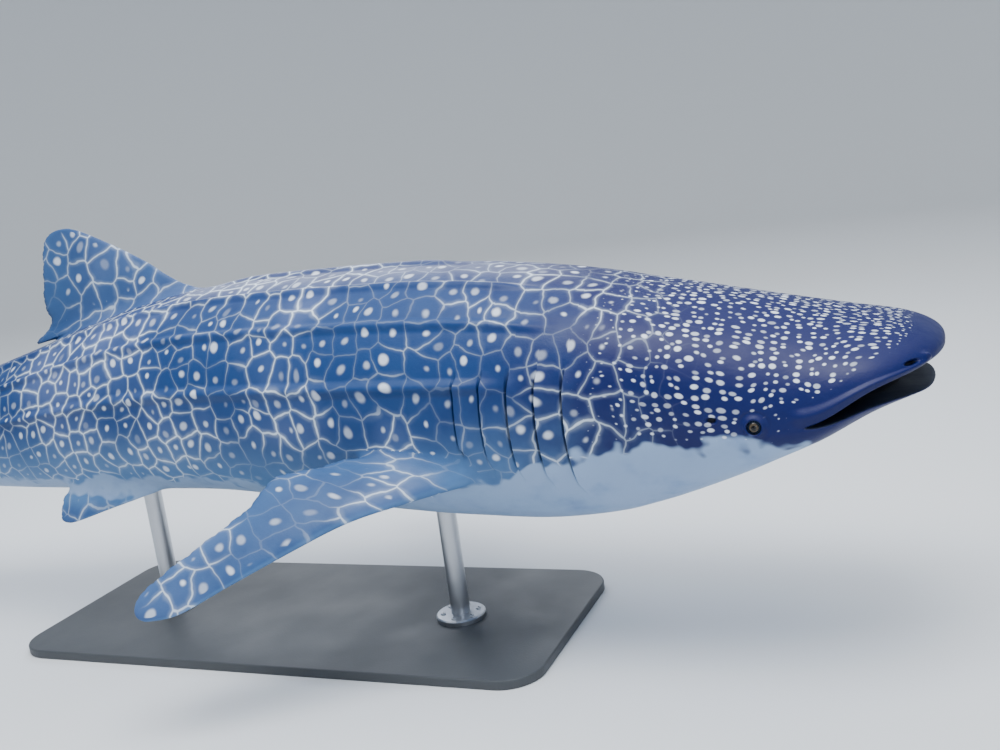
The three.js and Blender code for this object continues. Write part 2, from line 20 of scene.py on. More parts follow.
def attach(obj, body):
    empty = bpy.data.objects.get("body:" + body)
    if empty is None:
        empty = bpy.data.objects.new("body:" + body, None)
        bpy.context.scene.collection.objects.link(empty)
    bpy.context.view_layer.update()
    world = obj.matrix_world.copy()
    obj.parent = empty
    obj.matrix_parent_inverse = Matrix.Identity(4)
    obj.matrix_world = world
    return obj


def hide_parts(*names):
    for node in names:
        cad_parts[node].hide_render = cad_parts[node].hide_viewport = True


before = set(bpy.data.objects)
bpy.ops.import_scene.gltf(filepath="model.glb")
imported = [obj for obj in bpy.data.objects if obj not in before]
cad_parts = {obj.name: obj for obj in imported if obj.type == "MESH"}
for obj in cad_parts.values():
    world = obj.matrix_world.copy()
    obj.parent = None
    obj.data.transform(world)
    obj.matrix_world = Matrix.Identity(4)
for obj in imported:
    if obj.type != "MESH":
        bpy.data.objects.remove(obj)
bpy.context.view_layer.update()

HUNDREDTH = 0.07
MILLIMETRE = 0.001
BAKE_MAP = "OFBake"

log = logging.getLogger("whale_shark")

Array = np.ndarray
Table = tuple[float, ...]


class Hand(Enum):
    """The animal's own right and left, as the sign of the side."""

    RIGHT = -1
    LEFT = 1


class Piece(Enum):
    """What a part of the skin was before it was joined, as the number kept on its corners."""

    BODY = 0
    FIN = 1
    BARBEL = 10
    MOUTH = 20


# Shared arithmetic


def along(places: Table | Array, values: Table | Array, at: Array | float) -> Array:
    """A value between the numbers of a table, on a smooth curve through them.

    Args:
        places: where the table has its numbers, rising.
        values: the numbers.
        at: where the value is wanted. Beyond the ends the last number holds.

    Returns:
        The values, in the shape of at.
    """
    x = np.asarray(places, float)
    y = np.asarray(values, float)
    width = np.diff(x)
    gradient = np.diff(y) / width
    tangent = np.empty_like(y)
    tangent[0] = gradient[0]
    tangent[-1] = gradient[-1]
    tangent[1:-1] = (gradient[:-1] * width[1:] + gradient[1:] * width[:-1]) / (width[1:] + width[:-1])
    s = np.clip(at, x[0], x[-1])
    i = np.clip(np.searchsorted(x, s, side="right") - 1, 0, len(x) - 2)
    h = width[i]
    t = (s - x[i]) / h
    start = (2 * t**3 - 3 * t**2 + 1) * y[i] + (t**3 - 2 * t**2 + t) * h * tangent[i]
    end = (3 * t**2 - 2 * t**3) * y[i + 1] + (t**3 - t**2) * h * tangent[i + 1]
    return start + end


def ease(t: Array | float) -> Array:
    """Rises smoothly from 0 to 1 as t does."""
    c = np.clip(t, 0.0, 1.0)
    return c * c * (3 - 2 * c)


def window(value: Array | float, start: float, end: float, fade: float) -> Array:
    """Is 1 between start and end and 0 outside them, with a soft edge inside each."""
    return ease((value - start) / fade) * ease((end - value) / fade)


def blend(a: Array | float, b: Array | float, share: Array | float) -> Array:
    """Goes from a to b as share goes from 0 to 1."""
    return a + (b - a) * share


def spaced_by(step: Array, at: Array) -> Array:
    """Chooses places so that neighbours lie one local step apart.

    Args:
        step: the wanted distance at each of the sample places.
        at: the sample places, rising and close together.

    Returns:
        The chosen places, with the first and last sample among them.
    """
    middle_step = (step[1:] + step[:-1]) / 2
    count = np.concatenate([[0.0], np.cumsum(np.diff(at) / middle_step)])
    total = max(int(round(count[-1])), 2)
    return np.interp(np.linspace(0, count[-1], total + 1), count, at)


def srgb(code: str) -> tuple[float, float, float, float]:
    """Turns an sRGB hex colour into a linear one.

    Args:
        code: six hex digits after a hash sign.

    Returns:
        Red, green, blue and alpha, from 0 to 1.
    """
    parts = [int(code[i : i + 2], 16) / 255 for i in (1, 3, 5)]
    linear = [c / 12.92 if c <= 0.04045 else ((c + 0.055) / 1.055) ** 2.4 for c in parts]
    return (linear[0], linear[1], linear[2], 1.0)


def add_node(
    tree: bpy.types.NodeTree, kind: str, inputs: dict[Any, Any] | None = None, **settings: Any
) -> Any:
    """Adds a shader node, with its settings and links.

    Args:
        tree: the material's nodes.
        kind: the Blender name of the node.
        inputs: a value or another node's output, for each input by its name or number.
        settings: the node's own options.

    Returns:
        The node.
    """
    node = tree.nodes.new(kind)
    for name, value in settings.items():
        setattr(node, name, value)
    for socket, value in (inputs or {}).items():
        if isinstance(value, bpy.types.NodeSocket):
            tree.links.new(value, node.inputs[socket])
        else:
            node.inputs[socket].default_value = value
    return node


def empty_material(name: str) -> bpy.types.Material:
    """Makes a material with no nodes in it.

    Args:
        name: the name of the material.

    Returns:
        The material.
    """
    material = bpy.data.materials.new(name)
    material.use_nodes = True
    material.node_tree.nodes.clear()
    return material


# Meshes from arrays


@dataclass
class Loft:
    """A closed surface through rings of points, with what its corners carry.

    Corner values are given on the rings' grid with one more column than there are points, so that
    a value may jump where the ring closes.
    """

    name: str
    points: Array
    lie: Array
    tone: Array
    dots: Array
    bake: Array
    # Painted shade in recesses, from 0 to 1.
    crease: Array

    def faces(self) -> tuple[Array, Array, Array, Array]:
        """Lists the quads of the side and the triangles of the two ends.

        Returns:
            The vertices of each quad, their places on the grid of corner values, and the same
            for each triangle.
        """
        rings, columns = self.points.shape[:2]
        i, j = np.meshgrid(np.arange(rings - 1), np.arange(columns), indexing="ij")
        grid = [(i, j), (i, j + 1), (i + 1, j + 1), (i + 1, j)]
        quads = np.stack([a * columns + b % columns for a, b in grid], -1).reshape(-1, 4)
        quad_grid = np.stack([a * (columns + 1) + b for a, b in grid], -1).reshape(-1, 4)
        k = np.arange(columns)
        front = rings * columns
        last = (rings - 1) * columns
        last_grid = (rings - 1) * (columns + 1)
        cap = np.stack([np.full(columns, front), (k + 1) % columns, k], -1)
        cap_grid = np.stack([k, k + 1, k], -1)
        tail = np.stack([np.full(columns, front + 1), last + k, last + (k + 1) % columns], -1)
        tail_grid = np.stack([last_grid + k, last_grid + k, last_grid + k + 1], -1)
        return quads, quad_grid, np.concatenate([cap, tail]), np.concatenate([cap_grid, tail_grid])

    def mesh_object(self) -> bpy.types.Object:
        """Builds the surface, facing outwards.

        Returns:
            The object, in the scene.
        """
        points = np.concatenate([self.points.reshape(-1, 3), self.points[[0, -1]].mean(axis=1)])
        quads, quad_grid, triangles, triangle_grid = self.faces()
        corners = np.concatenate([quads.ravel(), triangles.ravel()])
        grid = np.concatenate([quad_grid.ravel(), triangle_grid.ravel()])
        sizes = np.concatenate([np.full(len(quads), 4), np.full(len(triangles), 3)])
        starts = np.concatenate([[0], np.cumsum(sizes)[:-1]])
        if self.volume(points, quads, triangles) < 0:
            face = np.repeat(np.arange(len(sizes)), sizes)
            place = np.arange(len(corners)) - starts[face]
            turned = starts[face] + sizes[face] - 1 - place
            corners = corners[turned]
            grid = grid[turned]
        mesh = bpy.data.meshes.new(self.name)
        mesh.vertices.add(len(points))
        mesh.vertices.foreach_set("co", points.astype(np.float32).ravel())
        mesh.loops.add(len(corners))
        mesh.loops.foreach_set("vertex_index", corners.astype(np.int32))
        mesh.polygons.add(len(starts))
        mesh.polygons.foreach_set("loop_start", starts.astype(np.int32))
        mesh.update(calc_edges=True)
        bake = mesh.uv_layers.new(name=BAKE_MAP)
        bake.data.foreach_set("uv", self.bake.reshape(-1, 2)[grid].astype(np.float32).ravel())
        for name, values in (("lie", self.lie), ("tone", self.tone), ("dots", self.dots)):
            carried = mesh.attributes.new(name, "FLOAT_VECTOR", "CORNER")
            carried.data.foreach_set("vector", values.reshape(-1, 3)[grid].astype(np.float32).ravel())
        carried = mesh.attributes.new("crease", "FLOAT", "CORNER")
        carried.data.foreach_set("value", self.crease.ravel()[grid].astype(np.float32))
        made = bpy.data.objects.new(self.name, mesh)
        bpy.context.scene.collection.objects.link(made)
        return made

    @staticmethod
    def volume(points: Array, quads: Array, triangles: Array) -> float:
        """Measures the signed volume, below zero where the faces look inwards.

        Args:
            points: the vertices.
            quads: the vertices of each quad.
            triangles: the vertices of each triangle.

        Returns:
            The volume in cubic metres.
        """
        all_triangles = np.concatenate([quads[:, [0, 1, 2]], quads[:, [0, 2, 3]], triangles])
        a, b, c = (points[all_triangles[:, k]] for k in range(3))
        return float(np.einsum("ij,ij->i", a, np.cross(b, c)).sum() / 6)


def plain_loft(name: str, points: Array, piece: Piece, bake_corner: tuple[float, float]) -> Loft:
    """Makes a loft that carries one value all over, for a cutter or a small lobe.

    Args:
        name: the name of the object.
        points: the rings of points.
        piece: what it is.
        bake_corner: the corner of its small patch on the bake map.

    Returns:
        The loft.
    """
    rings, columns = points.shape[:2]
    shape = (rings, columns + 1)
    lie = np.zeros((*shape, 3))
    lie[..., 2] = piece.value
    tone = np.zeros((*shape, 3))
    tone[..., 0] = 3.0
    tone[..., 1] = 1.0
    dots = np.full((*shape, 3), NO_DOTS)
    u, v = np.meshgrid(np.linspace(0, 1, rings), np.linspace(0, 1, columns + 1), indexing="ij")
    bake = np.stack([bake_corner[0] + 0.03 * u, bake_corner[1] + 0.03 * v], -1)
    return Loft(name, points, lie, tone, dots, bake, np.zeros(shape))


# A spot layer with this radius draws no spots
NO_DOTS = -0.15


@dataclass(frozen=True)
class Swim:
    """The line of the swimming body: straight in front, bending to the right and sinking behind."""

    line_height: float = 1.08
    stand_station: float = 40.0
    bend_from: float = 40.0
    bend_to: float = 81.0
    degrees_per_station: float = 0.33
    sink_from: float = 42.0
    sink_over: float = 28.0
    sink_depth: float = 1.7

    def place(self, station: Array | float, side: Array | float, height: Array | float) -> Array:
        """Turns station, side and height into metres.

        Args:
            station: how far back along the body.
            side: how far to the left.
            height: how far above the body's line.

        Returns:
            The points, with x, y and z last.
        """
        station, side, height = np.broadcast_arrays(station, side, height)
        turn = math.radians(self.degrees_per_station)
        bent = np.clip(station - self.bend_from, 0, self.bend_to - self.bend_from)
        straight = np.maximum(station - self.bend_to, 0)
        angle = turn * bent
        back = np.minimum(station, self.bend_from) + np.sin(angle) / turn + straight * np.cos(angle)
        right = (1 - np.cos(angle)) / turn + straight * np.sin(angle)
        sunk = self.sink_depth * ease((station - self.sink_from) / self.sink_over)
        x = (self.stand_station - back - side * np.sin(angle)) * HUNDREDTH
        y = (side * np.cos(angle) - right) * HUNDREDTH
        z = (height - sunk) * HUNDREDTH + self.line_height
        return np.stack([x, y, z], -1)


@dataclass(frozen=True)
class GillFlaps:
    """Five gill flaps. Each rises to a free edge at its back, with a slit behind it."""

    first: float = 17.6
    spacing: float = 1.5
    count: int = 5
    step: float = 0.34
    slit_depth: float = 0.34
    slit_share: float = 0.16
    top: float = 2.4
    bottom: float = -5.0
    shrink: float = 0.5
    feather: float = 1.4
    bow: float = 0.28
    bow_middle: float = -1.2
    bow_reach: float = 3.8

    def edges(self) -> list[float]:
        """The station of each free edge."""
        return [self.first + i * self.spacing for i in range(self.count)]

    def reach(self, station: Array, height: Array) -> tuple[Array, Array]:
        """Finds how strongly a flap shows at a place, and how far back on the flap that place is.

        Args:
            station: how far back along the body.
            height: how far above the body's line.

        Returns:
            The strength from 0 to 1, and the share of the flap's length.
        """
        run = (station - self.first) / self.spacing + 1
        flap = np.floor(run)
        inside = (run >= 0) & (run <= self.count + self.slit_share)
        low = self.bottom + self.shrink * np.minimum(flap, self.count - 1)
        strength = ease((height - low) / self.feather) * ease((self.top - height) / self.feather)
        return np.where(inside, strength, 0.0), run - flap

    def lift(self, station: Array, height: Array) -> Array:
        """Finds how far the flaps raise or lower the skin.

        Args:
            station: how far back along the body.
            height: how far above the body's line.

        Returns:
            The rise, in hundredths.
        """
        strength, phase = self.reach(station, height)
        run = (station - self.first) / self.spacing + 1
        rising = np.where(run < self.count, self.step * phase**2, 0.0)
        slit = self.slit_depth * np.clip(1 - phase / self.slit_share, 0, 1) ** 0.6 * (run >= 1)
        return strength * (rising - slit)

    def shade(self, station: Array, height: Array) -> Array:
        """Finds how deep inside a slit a place is, which sets the strength of the painted shade there.

        Args:
            station: how far back along the body.
            height: how far above the body's line.

        Returns:
            The depth, from 0 to 1, as the strength of the painted shade.
        """
        strength, phase = self.reach(station, height)
        run = (station - self.first) / self.spacing + 1
        return strength * np.clip(1.25 - phase / self.slit_share, 0, 1) * (run >= 1)

    def bent(self, station: Array, height: Array) -> Array:
        """Bows the slits back at their middle.

        Args:
            station: how far back along the body.
            height: how far above the body's line.

        Returns:
            The station once bowed.
        """
        zone = window(station, self.first - 3, self.edges()[-1] + 3, 2.5)
        curve = 1 - ((height - self.bow_middle) / self.bow_reach) ** 2
        return station + self.bow * zone * np.clip(curve, -1, 1)


@dataclass(frozen=True)
class BodyForm:
    """The sections of the body, and the ridges, lips and flaps that lift its skin."""

    station: Table = (0, 3, 6, 10, 15, 20, 26, 33, 41, 49, 57, 65, 71, 77, 81)
    back: Table = (2.2, 2.75, 3.45, 4.35, 5.45, 6.45, 7.2, 7.4, 7.3, 6.6, 5.25, 3.9, 3.1, 2.6, 2.5)
    belly: Table = (0.7, 1.5, 3.0, 4.95, 6.75, 7.55, 7.45, 6.85, 6.0, 5.5, 4.6, 3.5, 2.8, 2.3, 2.3)
    side: Table = (6.9, 6.9, 6.9, 7.0, 7.1, 7.2, 7.2, 7.0, 6.5, 5.8, 4.8, 3.7, 2.9, 2.3, 1.3)
    end: float = 81.0
    tail_taper: float = 5.2
    section_power: float = 2.3
    front_side: tuple[float, float] = (6.5, 2.6)
    front_height: tuple[float, float] = (3.0, 2.6)
    front_chin: tuple[float, float] = (1.2, 2.6)
    mouth_station: Table = (0, 3, 6, 9, 13)
    mouth_height: Table = (1.15, 0.3, -1.25, -1.2, 0)
    mouth_corner: float = 6.2
    open_at_front: float = 1.75
    lip_rise: float = 0.14
    lip_reach: float = 5.0
    lip_fade: float = 0.8
    ridge_angles: Table = (0, 27, 52, 80)
    ridge_starts: Table = (24, 19, 18, 20)
    ridge_ends: Table = (43.5, 62, 68, 80)
    ridge_foot: float = 4.0
    ridge_rise: float = 0.24
    ridge_fade: float = 4.0
    keel_angle: float = 80.0
    keel_foot: float = 12.0
    keel_rise: float = 0.75
    keel_from: float = 60.0
    keel_swell: float = 14.0
    keel_end: float = 82.5
    keel_fall: float = 4.0
    border_station: Table = (0, 4, 6.5, 8.5, 11.6, 15.2, 18.5, 22.1, 24.8, 30, 38, 46, 56, 66, 76, 86)
    border_height: Table = (
        -2.0, -2.2, -2.25, -2.1, -2.0, -2.0, -2.6, -3.6, -4.3, -4.7, -4.4, -3.9, -3.2, -2.5, -2.1, -1.9,
    )
    eye: tuple[float, float] = (8.5, -1.15)
    swim: Swim = field(default_factory=Swim)
    gills: GillFlaps = field(default_factory=GillFlaps)

    def centre(self, station: Array | float) -> Array:
        """The height of the widest place of a section, which is the mouth's line in the head."""
        return along(self.mouth_station, self.mouth_height, station)

    def opening(self, station: Array | float) -> Array:
        """The height of the gap between the lips."""
        return self.open_at_front * (1 - np.clip(station, 0, self.mouth_corner) / self.mouth_corner)

    @staticmethod
    def fullness(station: Array | float, reach: float, power: float) -> Array:
        """How much of its full size a section has, near the blunt front."""
        t = np.clip(1 - np.asarray(station) / reach, 0, 1)
        return (1 - t**power) ** (1 / power)

    def sizes(self, station: Array | float) -> tuple[Array, Array, Array]:
        """The section's half width, and its heights over and under the centre.

        Args:
            station: how far back along the body.

        Returns:
            The three sizes.
        """
        held = np.minimum(station, self.end)
        centre = self.centre(held)
        past = np.clip((np.asarray(station) - self.end) / self.tail_taper, 0, 1)
        tall = self.fullness(station, *self.front_height) * np.sqrt(1 - past**2)
        chin = self.fullness(station, *self.front_chin) * np.sqrt(1 - past**2)
        wide = self.fullness(station, *self.front_side) * (1 - past)
        over = (along(self.station, self.back, held) - centre) * tall
        under = (along(self.station, self.belly, held) + centre) * chin
        return along(self.station, self.side, held) * wide, over, under

    def relief(self, station: Array, angle: Array, height: Array) -> Array:
        """How far ridges, keel, lips and gill flaps lift the skin.

        Args:
            station: how far back along the body.
            angle: the angle from the back.
            height: the height of the bare section there.

        Returns:
            The lift, below zero in a slit.
        """
        lift = np.zeros(np.broadcast_shapes(np.shape(station), np.shape(angle)))
        for crest, start, end in zip(self.ridge_angles, self.ridge_starts, self.ridge_ends):
            near = np.clip(1 - np.abs(angle - crest) / self.ridge_foot, 0, 1)
            lift = lift + self.ridge_rise * ease(near) * window(station, start, end, self.ridge_fade)
        keel = np.clip(1 - np.abs(angle - self.keel_angle) / self.keel_foot, 0, 1)
        swell = ease((station - self.keel_from) / self.keel_swell)
        fall = ease((self.keel_end - station) / self.keel_fall)
        lift = lift + self.keel_rise * ease(keel) * swell * fall
        lip = np.clip(1 - np.abs(angle - 90 + self.lip_reach) / self.lip_reach, 0, 1)
        lift = lift + self.lip_rise * ease(lip) * window(
            station, 0, self.mouth_corner + self.lip_fade, self.lip_fade
        )
        return lift + self.gills.lift(station, height)

    def skin(
        self, station: Array | float, angle: Array | float, hand: Array | float
    ) -> tuple[Array, Array]:
        """Places points of the skin.

        Args:
            station: how far back along the body.
            angle: the angle from the back.
            hand: the sign of the side.

        Returns:
            The points in metres, and their heights on the bare section.
        """
        station, angle, hand = np.broadcast_arrays(
            np.asarray(station, float), np.asarray(angle, float), np.asarray(hand, float)
        )
        half_width, over, under = self.sizes(station)
        cos = np.cos(np.radians(angle))
        sin = np.sin(np.radians(angle))
        power = 2 / self.section_power
        up = np.sign(cos) * np.abs(cos) ** power * np.where(cos > 0, over, under)
        out = np.abs(sin) ** power * half_width
        height = self.centre(np.minimum(station, self.end)) + up
        front = np.minimum(
            self.fullness(station, *self.front_height), self.fullness(station, *self.front_side)
        )
        lift = self.relief(station, angle, height) * front
        bent = self.gills.bent(station, height)
        return self.swim.place(bent, hand * (out + lift * sin), height + lift * cos), height

    def outside(self, station: Array, side: Array, height: Array) -> Array:
        """How far a place is outside the body, measured from the middle of its section.

        Args:
            station: how far back along the body.
            side: how far to the left.
            height: how far above the body's line.

        Returns:
            The distance in hundredths, below zero inside.
        """
        half_width, over, under = self.sizes(station)
        rise = height - self.centre(np.minimum(station, self.end))
        tall = np.where(rise > 0, over, under)
        share = (
            (np.abs(side) / np.maximum(half_width, 0.05)) ** self.section_power
            + (np.abs(rise) / np.maximum(tall, 0.05)) ** self.section_power
        ) ** (1 / self.section_power)
        radius = np.hypot(side, rise)
        return radius * (1 - 1 / np.maximum(share, 1e-3))

    def on_skin(self, station: float, angle: float, hand: Hand) -> tuple[Vector, Vector]:
        """Finds a point of the skin and the direction out of it.

        Args:
            station: how far back along the body.
            angle: the angle from the back.
            hand: which side.

        Returns:
            The point and the unit normal.
        """
        point = Vector(self.skin(station, angle, hand.value)[0])
        low = Vector(self.skin(station, angle + 3, hand.value)[0])
        high = Vector(self.skin(station, angle - 3, hand.value)[0])
        behind = Vector(self.skin(station + 0.2, angle, hand.value)[0])
        ahead = Vector(self.skin(station - 0.2, angle, hand.value)[0])
        normal = (low - high).cross(behind - ahead).normalized()
        if normal.y * hand.value < 0:
            normal.negate()
        return point, normal

    def angle_at(self, station: float, height: float) -> float:
        """Finds the angle at which the side of a section has a given height.

        Args:
            station: where the section is.
            height: how far above the body's line.

        Returns:
            The angle from the back, in degrees.
        """
        angles = np.linspace(0, 180, 3601)
        heights = self.skin(station, angles, 1)[0][:, 2]
        target = height * HUNDREDTH + self.swim.line_height
        return float(np.interp(-target, -heights, angles))

    def above_belly(self, station: Array, height: Array) -> Array:
        """How far a place is above the border between dark back and pale belly."""
        return height - along(self.border_station, self.border_height, station)


@dataclass(frozen=True)
class SkinGrid:
    """The fine grid of the body's skin, closest at the eyes, lips and gill slits."""

    body: BodyForm
    step: float = 9.0
    ridge_step: float = 5.5
    cheek_step: float = 4.0
    cheek: tuple[float, float] = (68.0, 101.0)
    head_step: float = 6.5
    feature_step: float = 2.6
    slit_step: float = 2.2
    features: tuple[tuple[float, float], ...] = ((1.1, 0.75), (8.5, 0.8), (10.5, 0.4))
    front: float = 0.0005
    front_growth: float = 0.25
    reference: float = 20.0
    bake_top: float = 0.6
    head_share: float = 1.5
    head_end: float = 16.0
    # Radii of spots, as a share of the spacing of their layer.
    head_spot: float = 0.27
    body_spot: float = 0.145

    def stations(self) -> Array:
        """Chooses the stations of the rings.

        Returns:
            The stations, from the snout back.
        """
        end = self.body.end + self.body.tail_taper * 0.985
        snout = np.geomspace(self.front, 0.5, 4000)
        samples = np.concatenate([snout, np.arange(0.5, end, 0.002)[1:], [end]])
        step = np.full_like(samples, self.step)
        step = np.where(samples < self.head_end, self.head_step, step)
        for middle, reach in self.features:
            step = np.where(np.abs(samples - middle) < reach, self.feature_step, step)
        for edge in self.body.gills.edges():
            near = (samples > edge - 0.06) & (samples < edge + 0.3)
            step = np.where(near, self.slit_step, step)
        step = step * MILLIMETRE / HUNDREDTH
        step = np.minimum(step, self.front / 2 + self.front_growth * samples)
        return spaced_by(step, samples)

    def angles(self) -> Array:
        """Chooses the angles of the columns down one side.

        Returns:
            The angles, from the back to the belly.
        """
        angles = np.linspace(0, 180, 7201)
        points = self.body.skin(self.reference, angles, 1)[0]
        arc = np.concatenate([[0], np.cumsum(np.linalg.norm(np.diff(points, axis=0), axis=1))])
        step = np.full_like(angles, self.step)
        for crest in self.body.ridge_angles:
            step = np.where(np.abs(angles - crest) < self.body.ridge_foot + 0.5, self.ridge_step, step)
        step = np.where((angles > self.cheek[0]) & (angles < self.cheek[1]), self.cheek_step, step)
        chosen = spaced_by(step * MILLIMETRE, arc)
        return np.interp(chosen, arc, angles)

    def loft(self) -> Loft:
        """Builds the body's rings from the right side of the belly over the back to the left.

        Returns:
            The loft of the whole body.
        """
        one_side = self.angles()
        turned = np.concatenate([-one_side[::-1], one_side[1:]])
        stations = self.stations()[:, None]
        hand = np.where(turned < 0, -1.0, 1.0)[None, :]
        angle = np.abs(turned)[None, :]
        points, height = self.body.skin(stations, angle, hand)
        lengths = np.linalg.norm(np.diff(points, axis=1), axis=2)
        arc = np.concatenate([np.zeros((len(stations), 1)), np.cumsum(lengths, axis=1)], axis=1)
        top = arc[:, [len(one_side) - 1]]
        half = arc[:, [-1]] / 2
        signed = arc - top
        scale = pattern_scale(half)
        steps = np.diff(stations, axis=0) * HUNDREDTH / ((scale[1:] + scale[:-1]) / 2)
        travelled = np.concatenate([[[0.0]], np.cumsum(steps, axis=0)])
        shape = points.shape[:2]
        lie = np.stack([np.broadcast_to(travelled, shape), signed / scale, np.zeros(shape)], -1)
        tone, dots = self.markings(stations, angle, height)
        weight = np.where(stations < self.head_end, self.head_share, 1.0)
        run = np.cumsum(np.concatenate([[[0.0]], np.diff(stations, axis=0) * weight[1:]]), axis=0)
        u = np.broadcast_to(0.005 + 0.99 * run / run[-1], shape)
        v = 0.005 + (self.bake_top - 0.01) * (signed / half + 1) / 2
        # Painted shade inside the gill slits, darkest deep in each slit.
        crease = self.body.gills.shade(stations, height)
        return Loft("skin", points[:, :-1], lie, tone, dots, np.stack([u, v], -1), crease)

    def markings(self, stations: Array, angle: Array, height: Array) -> tuple[Array, Array]:
        """Says how strongly each kind of marking shows over the body.

        Args:
            stations: the stations of the rings.
            angle: the angle of each column from the back.
            height: the heights of the bare sections.

        Returns:
            The tones, which are height above the belly's border, darkness and lines, and the
            spot radii of the head's and the body's layers, in cells.
        """
        shape = height.shape
        above = self.body.above_belly(stations, height)
        dark = 1 - 0.85 * ease((stations - 9) / 20)
        dark = blend(dark, 1, 0.45 * ease((50 - angle) / 50))
        # The net of pale lines is partly the species' own pale lines and partly painted caustic light.
        lines = ease((stations - 9) / 10) * blend(1, 0.4, ease((stations - 56) / 20))
        over_lip = height - self.body.centre(stations)
        # The head's spots stay off a dark band along the upper lip in front of the mouth's corner, and off
        # the tip of the snout: the band is painted shade.
        outside_lip_shade = ease((over_lip - 0.95) / 0.7) * ease(stations / 2.5)
        outside_lip_shade = blend(outside_lip_shade, 1, ease((stations - self.body.mouth_corner) / 2))
        head = (1 - ease((stations - 12) / 8)) * outside_lip_shade
        trunk = ease((stations - 11) / 7)
        shown = ease((above + 0.2) / 0.9)
        tail = blend(1, 0.8, ease((stations - 50) / 20))
        eye_station, eye_height = self.body.eye
        away_from_eye = ease((np.hypot(stations - eye_station, height - eye_height) - 0.5) / 0.35)
        tone = np.stack([above, np.broadcast_to(dark, shape), np.broadcast_to(lines, shape)], -1)
        dots = np.stack(
            [
                blend(NO_DOTS, self.head_spot, head * shown * away_from_eye),
                blend(NO_DOTS, self.body_spot * tail, trunk * shown),
                np.full(shape, NO_DOTS),
            ],
            -1,
        )
        return tone, dots


def pattern_scale(half_girth: Array) -> Array:
    """The length that one unit of the markings' coordinates covers, in metres.

    Rows of spots draw together with the body, but less than it does at the thin tail.

    Args:
        half_girth: the length of a section from the back to the belly, in metres.

    Returns:
        The length in metres.
    """
    return FULL_HALF_GIRTH * (half_girth / FULL_HALF_GIRTH) ** 0.6


FULL_HALF_GIRTH = 1.7


